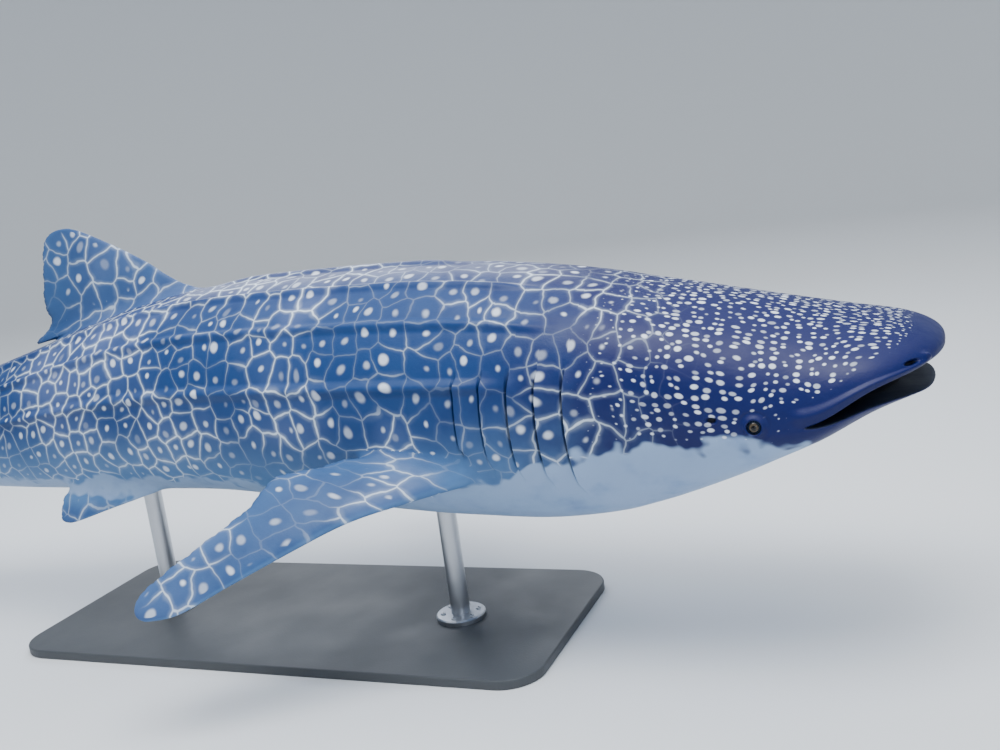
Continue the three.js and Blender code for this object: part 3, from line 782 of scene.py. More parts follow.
@dataclass(frozen=True)
class FinForm:
    """A fin in rows from its root to its tip.

    Three angles turn it about its root: sweep towards the tail, slope below the horizon, and
    twist, which lifts the trailing edge. Each row has the leading edge, as distance along the fin
    and distance back, and then the trailing edge.
    """

    name: str
    root: tuple[float, float, float]
    slope: float
    thick: Table
    rows: tuple[Table, ...]
    number: int
    sweep: float = 0.0
    twist: float = 0.0
    bow: float = 0.0
    pale_under: bool = False
    tip_rows: float = 0.3
    step: float = 0.12
    chord_steps: int = 46
    foil_round: float = 1.3
    foil_trailing: float = 0.1
    edge_share: float = 0.035
    flare_reach: float = 1.0
    flare: float = 0.42
    ripple: float = 0.035
    # Radius of the fin's spots, as a share of their spacing.
    spot_radius: float = 0.16

    def axes(self) -> tuple[Array, Array, Array]:
        """Works out how the fin stands.

        Returns:
            The directions out along the fin, back along its chord, and out of its upper face.
        """
        sweep, slope, twist = (math.radians(a) for a in (self.sweep, self.slope, self.twist))
        level = np.array([0, -math.cos(slope), -math.sin(slope)])
        up = np.array([0, -math.sin(slope), math.cos(slope)])
        ahead = np.array([1.0, 0.0, 0.0])
        out = level * math.cos(sweep) + ahead * math.sin(sweep)
        flat = level * -math.sin(sweep) + ahead * math.cos(sweep)
        back = flat * math.cos(twist) + up * math.sin(twist)
        normal = up * math.cos(twist) - flat * math.sin(twist)
        return out, back, normal

    def ring_places(self) -> Array:
        """Chooses the rings, closer at the rounded tip.

        Returns:
            The rings' places, as row numbers.
        """
        last = len(self.rows) - 1
        numbers = np.arange(len(self.rows))
        dense = np.linspace(0, last - self.tip_rows, 800)
        rows = np.array(self.rows)
        edge = np.stack([along(numbers, rows[:, k], dense) for k in range(4)], -1)
        run = np.linalg.norm(np.diff(edge, axis=0), axis=1) / math.sqrt(2)
        length = np.concatenate([[0], np.cumsum(run)])
        straight = spaced_by(np.full_like(length, self.step), length)
        straight = np.interp(straight, length, dense)
        rounding = np.sin(np.linspace(0, math.pi / 2 * 0.94, 14))[1:]
        return np.concatenate([straight, last - self.tip_rows + self.tip_rows * rounding])

    def foil(self, share: Array) -> Array:
        """Finds half the thickness, round in front and thin behind.

        Args:
            share: the share of the chord.

        Returns:
            Half the thickness, as a share of the fin's.
        """
        body = self.foil_round * np.sqrt(share) * (1 - share) + self.foil_trailing * share
        past = np.clip((share - 1 + self.edge_share) / self.edge_share, 0, 1)
        return body * blend(1, 0.2, 1 - np.sqrt(1 - past**2))

    def loft(self, body: BodyForm, hand: Hand, bake_cell: tuple[float, float, float, float]) -> Loft:
        """Builds the fin, flared where it leaves the body.

        Args:
            body: the body that carries it.
            hand: which side it is on.
            bake_cell: the left, bottom, width and height of its cell on the bake map.

        Returns:
            The loft.
        """
        out, back, normal = self.axes()
        rows = np.array(self.rows)
        numbers = np.arange(len(rows))
        last = len(rows) - 1
        t = self.ring_places()[:, None]
        lead_out, lead_back, trail_out, trail_back = (along(numbers, rows[:, k], t) for k in range(4))
        thick = along(numbers, self.thick, t)
        bow = self.bow * np.sin(math.pi * t / last)
        tip = np.clip((t - last + self.tip_rows) / self.tip_rows, 0, 1)
        rounded = np.sqrt(1 - tip**2)
        forward = np.linspace(0, 1, self.chord_steps + 1) ** 1.6
        forward = forward[1:]
        share = np.concatenate([[0.0], forward, forward[::-1]])[None, :]
        face = np.concatenate([[0.0], np.ones(len(forward)), -np.ones(len(forward))])[None, :]
        drawn = 0.5 + (share - 0.5) * rounded
        wave = np.sin(t * 9.1) + 0.7 * np.sin(t * 21.7 + 1.3) + 0.5 * np.sin(t * 43.0 + 0.6)
        ragged = self.ripple * wave * ease((share - 0.7) / 0.3) * rounded
        run_out = blend(lead_out, trail_out, drawn)
        run_back = blend(lead_back, trail_back, drawn) + ragged
        lift = face * self.foil(share) * thick * rounded

        def spot(raised: Array) -> Array:
            """Places the points of the fin.

            Args:
                raised: how far each one is off the fin's middle plane.

            Returns:
                Their station, side and height.
            """
            place = (
                np.array(self.root)
                + run_out[..., None] * out
                + run_back[..., None] * back
                + (bow + raised)[..., None] * normal
            )
            place[..., 1] *= -hand.value
            return place

        bare = spot(lift)
        off_body = body.outside(bare[..., 0], bare[..., 1], bare[..., 2])
        near = np.clip(1 - off_body / self.flare_reach, 0, 1)
        flare = self.flare * np.minimum(near, 1.0) ** 2 * ease(share / 0.08) * ease((1.02 - share) / 0.15)
        place = spot(lift + face * flare)
        points = body.swim.place(place[..., 0], place[..., 1], place[..., 2])
        away = np.maximum(body.outside(place[..., 0], place[..., 1], place[..., 2]), 0)
        closed = [np.concatenate([a, a[:, :1]], axis=1) for a in (place, away[..., None], share + 0 * t)]
        place, away, share = closed[0], closed[1][..., 0], closed[2]
        face = np.concatenate([face, [[-1.0]]], axis=1) + 0 * t
        tone, dots = self.markings(body, place, away, share, face, t)
        upper = (face >= 0).astype(float)
        middle_out = np.broadcast_to(blend(lead_out, trail_out, 0.5), share.shape)
        reach = middle_out * HUNDREDTH / FULL_HALF_GIRTH
        across = np.concatenate([run_back, run_back[:, :1]], axis=1) * HUNDREDTH / FULL_HALF_GIRTH
        lie = np.stack(
            [
                reach + 7.3 * self.number + 3.1 * hand.value,
                across + 4.7 * upper,
                np.full(share.shape, float(Piece.FIN.value + self.number)),
            ],
            -1,
        )
        left, bottom, width, tall = bake_cell
        u = left + width * (0.02 + 0.46 * share + 0.5 * (1 - upper))
        v = bottom + tall * (0.02 + 0.96 * t / last) + 0 * share
        name = f"{self.name}_{hand.name.lower()}"
        return Loft(name, points, lie, tone, dots, np.stack([u, v], -1), np.zeros(share.shape))

    def markings(
        self, body: BodyForm, place: Array, away: Array, share: Array, face: Array, t: Array
    ) -> tuple[Array, Array]:
        """Says how strongly each kind of marking shows over the fin.

        Args:
            body: the body that carries it.
            place: station, side and height of each point.
            away: how far each point is outside the body.
            share: the share of the chord.
            face: 1 on the upper face and -1 on the lower one.
            t: the row numbers.

        Returns:
            The tones and the spot radii, as for the body.
        """
        own = ease(away / 2.2)
        station, height = place[..., 0], place[..., 2]
        at_root = np.clip(body.above_belly(station, height), -3, 3)
        above = np.full(share.shape, 2.5)
        if self.pale_under:
            pale = blend(0.9, -1.4, ease(share / 0.12))
            above = np.where(face < 0, pale, blend(0.9, 2.5, ease(share / 0.06)))
        dark_body = 1 - 0.85 * ease((station - 9) / 20)
        dark = blend(dark_body, 0.3 - 0.2 * ease((share - 0.6) / 0.4), own)
        tip = ease((t - (len(self.rows) - 2)) / 1.0)
        # The fins carry the net of pale lines too, partly painted caustic light.
        lines = blend(0.6, 0.8, own) * (1 - tip) + 0 * share
        dotted = ease((away - 0.5) / 1.2) * ease((share - 0.03) / 0.1) * ease((0.97 - share) / 0.15)
        dotted = dotted * np.where(above > 0.5, 1.0, 0.0)
        tone = np.stack([blend(at_root, above, own), dark + 0 * share, lines], -1)
        dots = np.full((*share.shape, 3), NO_DOTS)
        dots[..., 1] = blend(NO_DOTS, self.spot_radius, dotted)
        return tone, dots


PECTORAL = FinForm(
    name="pectoral_fin",
    number=0,
    root=(23.5, -6.2, -4.2),
    sweep=56.3,
    slope=25.0,
    twist=19.0,
    bow=1.3,
    pale_under=True,
    thick=(1.3, 1.15, 0.95, 0.8, 0.62, 0.45, 0.32, 0.2),
    rows=(
        (-2.3, -0.5, 2.6, 3.6),
        (0.2, -0.1, 5.1, 4.4),
        (4.4, 0.2, 8.0, 4.55),
        (7.4, 0.27, 10.25, 4.8),
        (10.8, -0.05, 12.1, 3.6),
        (14.2, -0.33, 14.8, 2.85),
        (17.2, -0.43, 17.6, 2.22),
        (19.55, 0.45, 19.55, 1.8),
    ),
)
PELVIC = FinForm(
    name="pelvic_fin",
    number=1,
    root=(46.4, -3.2, -4.6),
    sweep=12.0,
    slope=55.0,
    twist=6.0,
    pale_under=True,
    thick=(0.8, 0.75, 0.6, 0.45, 0.3, 0.2),
    rows=(
        (-1.2, -0.3, -1.2, 6.2),
        (0.3, 0.2, 0.2, 7.4),
        (1.5, 2.2, 0.9, 8.8),
        (2.5, 4.1, 1.6, 8.2),
        (3.5, 6.0, 2.7, 8.0),
        (3.9, 7.0, 3.7, 7.7),
    ),
)
FIRST_DORSAL = FinForm(
    name="first_dorsal_fin",
    number=2,
    root=(43.9, 0.0, 0.0),
    slope=-90.0,
    thick=(1.5, 1.3, 1.05, 0.85, 0.65, 0.45, 0.3, 0.2),
    rows=(
        (5.4, 0, 4.0, 10.6),
        (7.1, 0.1, 5.3, 12.6),
        (7.6, 1.4, 5.5, 13.9),
        (8.4, 2.7, 6.6, 12.4),
        (9.4, 4.0, 8.0, 12.6),
        (10.9, 6.4, 10.0, 12.2),
        (12.1, 8.5, 11.6, 11.8),
        (12.65, 9.8, 12.5, 11.2),
    ),
)
SECOND_DORSAL = FinForm(
    name="second_dorsal_fin",
    number=3,
    root=(63.6, 0.0, 0.0),
    slope=-90.0,
    thick=(0.9, 0.8, 0.62, 0.45, 0.3, 0.2),
    rows=(
        (1.5, -0.2, 1.5, 4.4),
        (4.0, 0.2, 3.3, 4.6),
        (4.9, 1.4, 3.9, 5.8),
        (6.0, 2.8, 5.2, 5.2),
        (7.0, 4.1, 6.6, 5.3),
        (7.4, 4.9, 7.2, 5.5),
    ),
)
ANAL = FinForm(
    name="anal_fin",
    number=4,
    root=(66.4, 0.0, 0.0),
    slope=90.0,
    thick=(0.85, 0.75, 0.6, 0.42, 0.3, 0.2),
    rows=(
        (1.2, -0.2, 1.2, 4.2),
        (3.3, 0.2, 2.8, 4.4),
        (4.3, 1.5, 3.3, 5.6),
        (5.5, 3.0, 4.6, 5.1),
        (6.7, 4.4, 6.2, 5.5),
        (7.1, 5.2, 6.9, 5.8),
    ),
)
CAUDAL_UPPER = FinForm(
    name="caudal_fin_upper",
    number=5,
    root=(77.0, 0.0, 0.0),
    slope=-90.0,
    thick=(2.3, 2.1, 1.7, 1.3, 0.95, 0.7, 0.48, 0.3),
    rows=(
        (-0.6, 2.2, -0.6, 9.6),
        (1.6, 2.0, 1.2, 10.0),
        (3.1, 3.8, 2.9, 11.2),
        (5.6, 6.6, 5.4, 13.2),
        (8.4, 9.7, 8.2, 15.6),
        (11.4, 13.2, 11.2, 18.0),
        (14.2, 16.8, 14.0, 20.2),
        (16.2, 20.0, 16.0, 21.6),
    ),
)
CAUDAL_LOWER = FinForm(
    name="caudal_fin_lower",
    number=6,
    root=(77.0, 0.0, 0.0),
    slope=90.0,
    thick=(2.3, 2.0, 1.6, 1.2, 0.85, 0.6, 0.42, 0.28),
    rows=(
        (-0.1, 2.2, -0.1, 9.6),
        (1.6, 1.6, 1.4, 9.6),
        (2.9, 2.7, 2.7, 9.8),
        (4.9, 4.6, 4.8, 10.2),
        (7.2, 6.6, 7.1, 10.9),
        (9.4, 8.6, 9.3, 11.6),
        (11.2, 10.4, 11.1, 12.4),
        (12.4, 12.0, 12.3, 13.0),
    ),
)
MIDDLE_FINS = (FIRST_DORSAL, SECOND_DORSAL, ANAL, CAUDAL_UPPER, CAUDAL_LOWER)
PAIRED_FINS = (PECTORAL, PELVIC)


# Finishes


@dataclass(frozen=True)
class SpotLayer:
    """One size of spots: rows between back and belly, stretch, disorder, soft edge and paleness."""

    rows: float
    stretch: float
    randomness: float
    edge: float
    paleness: tuple[float, float]


@dataclass(frozen=True)
class SharkSkinFinish:
    """Painted cast of denticle skin. It gives a satin, slightly grained slate blue with pale spots, bluer
    than the animal's own slate grey: a painted tint of blue water light.
    """

    name: str = "denticle_skin"
    # The blues of the skin carry a painted tint of blue water light, bluer than the animal's own slate
    # grey.
    head: str = "#07134c"
    flank: str = "#173a6c"
    mottle: str = "#4b5d8b"
    low_flank: str = "#527aa8"
    # Colour of the net of pale lines: partly the species' own lines, partly painted caustic light.
    line: str = "#cbd9e8"
    spot: str = "#d5deec"
    # The belly is a blue-grey, darker and bluer than the animal's own pale belly: partly painted shade
    # under the body. belly_shade is a darker tone of it in random patches.
    belly: str = "#8ba4c5"
    belly_shade: str = "#6884ae"
    mouth: str = "#2b3447"
    # Near black painted shade in the gill slits, eye sockets, nostril slots and breathing holes.
    slit: str = "#060d1f"
    head_spots: SpotLayer = SpotLayer(50.0, 1.45, 0.65, 0.1, (0.4, 0.95))
    body_spots: SpotLayer = SpotLayer(14.5, 0.9, 0.62, 0.08, (0.25, 0.8))
    line_width: float = 0.034
    roughness: float = 0.48
    ior: float = 1.38
    shine: float = 0.35
    coat: float = 0.04
    coat_roughness: float = 0.3
    # Real denticles are under a millimetre, so the grain is drawn at 9 mm to show at all.
    grain: float = 9.0
    wrinkle: float = 45.0
    mottle_size: float = 150.0
    patch_size: float = 480.0
    border_size: float = 85.0
    warp_size: float = 320.0
    waver_size: float = 120.0
    warp: float = 0.07
    waver: float = 0.035

    def material(self) -> bpy.types.Material:
        """Builds the material.

        Returns:
            The material for the whole skin.
        """
        material = empty_material(self.name)
        tree = material.node_tree
        where = add_node(tree, "ShaderNodeTexCoord").outputs["Object"]
        lie = add_node(tree, "ShaderNodeAttribute", attribute_name="lie").outputs["Vector"]
        tone = add_node(tree, "ShaderNodeAttribute", attribute_name="tone").outputs["Vector"]
        dots = add_node(tree, "ShaderNodeAttribute", attribute_name="dots").outputs["Vector"]
        crease = add_node(tree, "ShaderNodeAttribute", attribute_name="crease").outputs["Fac"]
        above, dark, lines = add_node(tree, "ShaderNodeSeparateXYZ", {0: tone}).outputs
        radii = add_node(tree, "ShaderNodeSeparateXYZ", {0: dots}).outputs
        inside = add_node(tree, "ShaderNodeSeparateXYZ", {0: lie}).outputs[2]
        mottling, patches, border, grain, wrinkle = (
            add_node(
                tree,
                "ShaderNodeTexNoise",
                {"Vector": where, "Scale": 1000 / size, "Detail": detail, "Roughness": rough},
            ).outputs[0]
            for size, detail, rough in (
                (self.mottle_size, 3.0, 0.55),
                (self.patch_size, 2.0, 0.5),
                (self.border_size, 1.0, 0.5),
                (self.grain, 2.0, 0.6),
                (self.wrinkle, 4.0, 0.5),
            )
        )
        warped = self.shifted(tree, lie, where, self.warp_size, self.warp)
        wavy = self.shifted(tree, warped, where, self.waver_size, self.waver)

        flank = self.mixed(tree, patches, srgb(self.flank), srgb(self.mottle), (0.42, 0.78))
        flank = self.mixed(tree, above, srgb(self.low_flank), flank, (-0.5, 4.2))
        darkness = add_node(
            tree, "ShaderNodeMath", {0: mottling, 1: 0.5, 2: -0.25}, operation="MULTIPLY_ADD"
        ).outputs[0]
        darkness = add_node(tree, "ShaderNodeMath", {0: dark, 1: darkness}, operation="ADD").outputs[0]
        upper = self.mixed(tree, darkness, flank, srgb(self.head), (0.05, 0.95))
        # The net of pale lines, partly painted caustic light, with a painted glow round each line.
        drawn = self.line_and_caustic_mask(tree, wavy, lines, patches)
        upper = self.mixed(tree, drawn, upper, srgb(self.line), (0, 1))
        belly = self.mixed(tree, mottling, srgb(self.belly), srgb(self.belly_shade), (0.45, 0.95))
        ragged = add_node(
            tree, "ShaderNodeMath", {0: border, 1: 2.4, 2: -1.2}, operation="MULTIPLY_ADD"
        ).outputs[0]
        ragged = add_node(tree, "ShaderNodeMath", {0: above, 1: ragged}, operation="ADD").outputs[0]
        colour = self.mixed(tree, ragged, belly, upper, (-0.2, 0.2))
        for radius, layer in zip(radii, (self.head_spots, self.body_spots)):
            mask = self.spot_mask(tree, warped, radius, layer)
            colour = self.mixed(tree, mask, colour, srgb(self.spot), (0, 1))
        mouth = Piece.MOUTH.value
        colour = self.mixed(tree, inside, colour, srgb(self.mouth), (mouth - 6, mouth - 4))
        # Painted shade darkens the slits, sockets, slots and holes.
        colour = self.mixed(tree, crease, colour, srgb(self.slit), (0.1, 0.9))

        height = add_node(tree, "ShaderNodeMath", {0: wrinkle, 1: 0.6, 2: 0.0}, operation="MULTIPLY_ADD")
        height = add_node(
            tree, "ShaderNodeMath", {0: grain, 1: 0.25, 2: height.outputs[0]}, operation="MULTIPLY_ADD"
        )
        bump = add_node(
            tree, "ShaderNodeBump", {"Strength": 0.45, "Distance": 0.006, "Height": height.outputs[0]}
        )
        rough = add_node(
            tree,
            "ShaderNodeMapRange",
            {"Value": mottling, "From Min": 0.3, "From Max": 0.7, "To Min": self.roughness - 0.07,
             "To Max": self.roughness + 0.1},
        )
        surface = add_node(
            tree,
            "ShaderNodeBsdfPrincipled",
            {
                "Base Color": colour,
                "Roughness": rough.outputs[0],
                "IOR": self.ior,
                "Specular IOR Level": self.shine,
                "Coat Weight": self.coat,
                "Coat Roughness": self.coat_roughness,
                "Normal": bump.outputs[0],
            },
        )
        add_node(tree, "ShaderNodeOutputMaterial", {"Surface": surface.outputs[0]})
        return material

    @staticmethod
    def mixed(tree: bpy.types.NodeTree, share: Any, a: Any, b: Any, span: tuple[float, float]) -> Any:
        """Mixes two colours by a value that runs over a span.

        Args:
            tree: the material's nodes.
            share: the value.
            a: the colour at the start of the span.
            b: the colour at its end.
            span: the start and end.

        Returns:
            The mixed colour.
        """
        eased = add_node(
            tree,
            "ShaderNodeMapRange",
            {"Value": share, "From Min": span[0], "From Max": span[1]},
            interpolation_type="SMOOTHSTEP",
        )
        return add_node(
            tree, "ShaderNodeMix", {0: eased.outputs[0], 6: a, 7: b}, data_type="RGBA"
        ).outputs[2]

    @staticmethod
    def shifted(tree: bpy.types.NodeTree, lie: Any, where: Any, millimetres: float, reach: float) -> Any:
        """Shifts the markings' coordinates a little, so that no row is ruled.

        Args:
            tree: the material's nodes.
            lie: the coordinates that follow the body.
            where: the coordinates in metres.
            millimetres: the length over which the shift changes.
            reach: how far it goes, in units of the coordinates.

        Returns:
            The shifted coordinates.
        """
        drift = add_node(
            tree,
            "ShaderNodeTexNoise",
            {"Vector": where, "Scale": 1000 / millimetres, "Detail": 2.0, "Roughness": 0.5},
        )
        centred = add_node(
            tree, "ShaderNodeVectorMath", {0: drift.outputs[1], 1: (0.5, 0.5, 0.5)}, operation="SUBTRACT"
        )
        return add_node(
            tree,
            "ShaderNodeVectorMath",
            {0: centred.outputs[0], 1: (reach, reach, 0.0), 2: lie},
            operation="MULTIPLY_ADD",
        ).outputs[0]

    @staticmethod
    def spot_mask(tree: bpy.types.NodeTree, warped: Any, radius: Any, layer: SpotLayer) -> Any:
        """Draws a layer of round spots in loose rows.

        Args:
            tree: the material's nodes.
            warped: the markings' coordinates.
            radius: the radius of the spots, as a share of their spacing.
            layer: the size and order of the spots.

        Returns:
            0 outside a spot, and up to 1 in it.
        """
        scaled = add_node(
            tree,
            "ShaderNodeVectorMath",
            {0: warped, 1: (layer.rows / layer.stretch, layer.rows, 0.0)},
            operation="MULTIPLY",
        )
        place = {"Vector": scaled.outputs[0], "Scale": 1.0, "Randomness": layer.randomness}
        cells = add_node(tree, "ShaderNodeTexVoronoi", place, voronoi_dimensions="2D")
        room = add_node(
            tree, "ShaderNodeTexVoronoi", place, voronoi_dimensions="2D", feature="N_SPHERE_RADIUS"
        )
        room = add_node(
            tree, "ShaderNodeMath", {0: room.outputs["Radius"], 1: 0.95, 2: -0.5 * layer.edge},
            operation="MULTIPLY_ADD",
        )
        size, faint, _ = add_node(tree, "ShaderNodeSeparateXYZ", {0: cells.outputs["Color"]}).outputs
        factor = add_node(tree, "ShaderNodeMath", {0: size, 1: 0.7, 2: 0.6}, operation="MULTIPLY_ADD")
        sized = add_node(
            tree, "ShaderNodeMath", {0: radius, 1: factor.outputs[0]}, operation="MULTIPLY"
        )
        sized = add_node(
            tree, "ShaderNodeMath", {0: sized.outputs[0], 1: room.outputs[0]}, operation="MINIMUM"
        )
        inner = add_node(
            tree,
            "ShaderNodeMath",
            {0: sized.outputs[0], 1: cells.outputs["Distance"]},
            operation="SUBTRACT",
        )
        disc = add_node(
            tree,
            "ShaderNodeMapRange",
            {"Value": inner.outputs[0], "From Min": -layer.edge, "From Max": layer.edge},
            interpolation_type="SMOOTHSTEP",
        ).outputs[0]
        faintest, palest = layer.paleness
        strength = add_node(
            tree, "ShaderNodeMath", {0: faint, 1: palest - faintest, 2: faintest}, operation="MULTIPLY_ADD"
        )
        return add_node(
            tree, "ShaderNodeMath", {0: disc, 1: strength.outputs[0]}, operation="MULTIPLY"
        ).outputs[0]

    def line_and_caustic_mask(self, tree: bpy.types.NodeTree, wavy: Any, strength: Any, patches: Any) -> Any:
        """Draws the net of thin pale lines that frame the body's spots, broken up in patches: partly the
        species' own pale lines, partly painted caustic light with a painted glow.

        Args:
            tree: the material's nodes.
            wavy: the markings' coordinates.
            strength: how strongly they show here.
            patches: the noise that breaks them up.

        Returns:
            A share from 0 to 1.
        """
        layer = self.body_spots
        scaled = add_node(
            tree,
            "ShaderNodeVectorMath",
            {0: wavy, 1: (layer.rows / layer.stretch, layer.rows, 0.0)},
            operation="MULTIPLY",
        )
        border = add_node(
            tree,
            "ShaderNodeTexVoronoi",
            {"Vector": scaled.outputs[0], "Scale": 1.0, "Randomness": layer.randomness},
            voronoi_dimensions="2D",
            feature="DISTANCE_TO_EDGE",
        )
        # The narrow core is the line; the wide faint ring round it is a painted glow of caustic light.
        core, caustic_glow = (
            add_node(
                tree,
                "ShaderNodeMapRange",
                {"Value": border.outputs["Distance"], "From Min": self.line_width * start,
                 "From Max": self.line_width * end, "To Min": weight, "To Max": 0.0},
                interpolation_type="SMOOTHSTEP",
            ).outputs[0]
            for start, end, weight in ((0.3, 1.7, 1.0), (0.0, 6.5, 0.42))
        )
        line = add_node(tree, "ShaderNodeMath", {0: core, 1: caustic_glow}, operation="MAXIMUM")
        broken = add_node(
            tree,
            "ShaderNodeMapRange",
            {"Value": patches, "From Min": 0.36, "From Max": 0.62, "To Min": 0.2, "To Max": 0.85},
            interpolation_type="SMOOTHSTEP",
        )
        shown = add_node(
            tree, "ShaderNodeMath", {0: line.outputs[0], 1: broken.outputs[0]}, operation="MULTIPLY"
        )
        return add_node(
            tree, "ShaderNodeMath", {0: shown.outputs[0], 1: strength}, operation="MULTIPLY"
        ).outputs[0]


@dataclass(frozen=True)
class EyeFinish:
    """Cast clear resin over a painted disc. It gives a wet, deep, dark eye with a round pupil."""

    name: str = "resin_eye"
    pupil: str = "#030406"
    iris: str = "#54493a"
    iris_dark: str = "#282219"
    ring: str = "#070b12"
    white: str = "#26364a"
    pupil_radius: float = 8.5
    iris_radius: float = 15.5
    ring_radius: float = 18.0
    streak: float = 2.5

    def material(self) -> bpy.types.Material:
        """Builds the material.

        Returns:
            The material of both eyes.
        """
        material = empty_material(self.name)
        tree = material.node_tree
        off_axis = add_node(tree, "ShaderNodeAttribute", attribute_name="off_axis").outputs["Fac"]
        where = add_node(tree, "ShaderNodeTexCoord").outputs["Object"]
        streaks = add_node(
            tree,
            "ShaderNodeTexNoise",
            {"Vector": where, "Scale": 1000 / self.streak, "Detail": 3.0, "Roughness": 0.6},
        ).outputs[0]
        colour: Any = add_node(
            tree,
            "ShaderNodeMix",
            {0: streaks, 6: srgb(self.iris_dark), 7: srgb(self.iris)},
            data_type="RGBA",
        ).outputs[2]
        for radius, soft, inner, outer in (
            (self.pupil_radius, 0.35, srgb(self.pupil), None),
            (self.iris_radius, 0.9, None, srgb(self.ring)),
            (self.ring_radius, 1.2, None, srgb(self.white)),
        ):
            edge = add_node(
                tree,
                "ShaderNodeMapRange",
                {"Value": off_axis, "From Min": radius - soft, "From Max": radius + soft},
                interpolation_type="SMOOTHSTEP",
            ).outputs[0]
            colour = add_node(
                tree,
                "ShaderNodeMix",
                {0: edge, 6: inner or colour, 7: outer or colour},
                data_type="RGBA",
            ).outputs[2]
        surface = add_node(
            tree,
            "ShaderNodeBsdfPrincipled",
            {
                "Base Color": colour,
                "Roughness": 0.08,
                "IOR": 1.38,
            },
        )
        add_node(tree, "ShaderNodeOutputMaterial", {"Surface": surface.outputs[0]})
        return material


@dataclass(frozen=True)
class PowderCoatFinish:
    """Fine-textured powder coat on steel plate. It gives an even charcoal with a dull, pebbled sheen."""

    name: str = "powder_coated_steel"
    colour: str = "#34373b"
    worn: str = "#414549"
    # The real texture is about 0.5 mm, so it is drawn at 7 mm to show at all.
    pebble: float = 7.0
    roughness: float = 0.5

    def material(self) -> bpy.types.Material:
        """Builds the material.

        Returns:
            The material of the base.
        """
        material = empty_material(self.name)
        tree = material.node_tree
        where = add_node(tree, "ShaderNodeTexCoord").outputs["Object"]
        cloud = add_node(
            tree, "ShaderNodeTexNoise", {"Vector": where, "Scale": 3.0, "Detail": 4.0}
        ).outputs[0]
        pebble = add_node(
            tree, "ShaderNodeTexNoise", {"Vector": where, "Scale": 1000 / self.pebble, "Detail": 1.0}
        ).outputs[0]
        colour = add_node(
            tree, "ShaderNodeMix", {0: cloud, 6: srgb(self.colour), 7: srgb(self.worn)}, data_type="RGBA"
        ).outputs[2]
        rough = add_node(
            tree,
            "ShaderNodeMapRange",
            {"Value": cloud, "From Min": 0.35, "From Max": 0.65, "To Min": self.roughness - 0.06,
             "To Max": self.roughness + 0.08},
        ).outputs[0]
        bump = add_node(tree, "ShaderNodeBump", {"Strength": 0.3, "Distance": 0.0015, "Height": pebble})
        surface = add_node(
            tree,
            "ShaderNodeBsdfPrincipled",
            {"Base Color": colour, "Roughness": rough, "IOR": 1.5, "Normal": bump.outputs[0]},
        )
        add_node(tree, "ShaderNodeOutputMaterial", {"Surface": surface.outputs[0]})
        return material


@dataclass(frozen=True)
class BrushedSteelFinish:
    """Stainless tube brushed round its girth. It gives soft highlights drawn out along the rod."""

    name: str = "brushed_stainless"
    colour: str = "#b9bcc1"
    # Real brush marks are about 0.2 mm, so they are drawn at 3 mm to show at all.
    mark: float = 3.0
    roughness: float = 0.32

    def material(self) -> bpy.types.Material:
        """Builds the material.

        Returns:
            The material of the rods.
        """
        material = empty_material(self.name)
        tree = material.node_tree
        where = add_node(tree, "ShaderNodeTexCoord").outputs["Object"]
        drawn_out = add_node(
            tree,
            "ShaderNodeVectorMath",
            {0: where, 1: (60.0, 60.0, 1000 / self.mark)},
            operation="MULTIPLY",
        ).outputs[0]
        marks = add_node(
            tree, "ShaderNodeTexNoise", {"Vector": drawn_out, "Scale": 1.0, "Detail": 3.0}
        ).outputs[0]
        rough = add_node(
            tree,
            "ShaderNodeMapRange",
            {"Value": marks, "From Min": 0.3, "From Max": 0.7, "To Min": self.roughness - 0.04,
             "To Max": self.roughness + 0.08},
        ).outputs[0]
        bump = add_node(tree, "ShaderNodeBump", {"Strength": 0.05, "Distance": 0.0004, "Height": marks})
        surface = add_node(
            tree,
            "ShaderNodeBsdfPrincipled",
            {
                "Base Color": srgb(self.colour),
                "Metallic": 1.0,
                "Roughness": rough,
                "Normal": bump.outputs[0],
            },
        )
        add_node(tree, "ShaderNodeOutputMaterial", {"Surface": surface.outputs[0]})
        return material


@dataclass(frozen=True)
class RubberFinish:
    """Moulded black rubber. It gives a matt dark ring with a faint bloom."""

    name: str = "moulded_rubber"
    colour: str = "#17181a"
    bloom: str = "#25272a"
    roughness: float = 0.78

    def material(self) -> bpy.types.Material:
        """Builds the material.

        Returns:
            The material of the sleeves.
        """
        material = empty_material(self.name)
        tree = material.node_tree
        where = add_node(tree, "ShaderNodeTexCoord").outputs["Object"]
        cloud = add_node(
            tree, "ShaderNodeTexNoise", {"Vector": where, "Scale": 60.0, "Detail": 4.0}
        ).outputs[0]
        colour = add_node(
            tree, "ShaderNodeMix", {0: cloud, 6: srgb(self.colour), 7: srgb(self.bloom)}, data_type="RGBA"
        ).outputs[2]
        bump = add_node(tree, "ShaderNodeBump", {"Strength": 0.2, "Distance": 0.0008, "Height": cloud})
        surface = add_node(
            tree,
            "ShaderNodeBsdfPrincipled",
            {"Base Color": colour, "Roughness": self.roughness, "IOR": 1.52, "Normal": bump.outputs[0]},
        )
        add_node(tree, "ShaderNodeOutputMaterial", {"Surface": surface.outputs[0]})
        return material


@dataclass(frozen=True)
class StudioFloorFinish:
    """Matt painted screed. It gives a pale, even ground that takes soft shadows."""

    name: str = "pale_floor"
    colour: str = "#d3d7db"
    roughness: float = 0.85

    def material(self) -> bpy.types.Material:
        """Builds the material.

        Returns:
            The material of the floor.
        """
        material = empty_material(self.name)
        tree = material.node_tree
        surface = add_node(
            tree,
            "ShaderNodeBsdfPrincipled",
            {"Base Color": srgb(self.colour), "Roughness": self.roughness, "IOR": 1.45},
        )
        add_node(tree, "ShaderNodeOutputMaterial", {"Surface": surface.outputs[0]})
        return material


# The skin


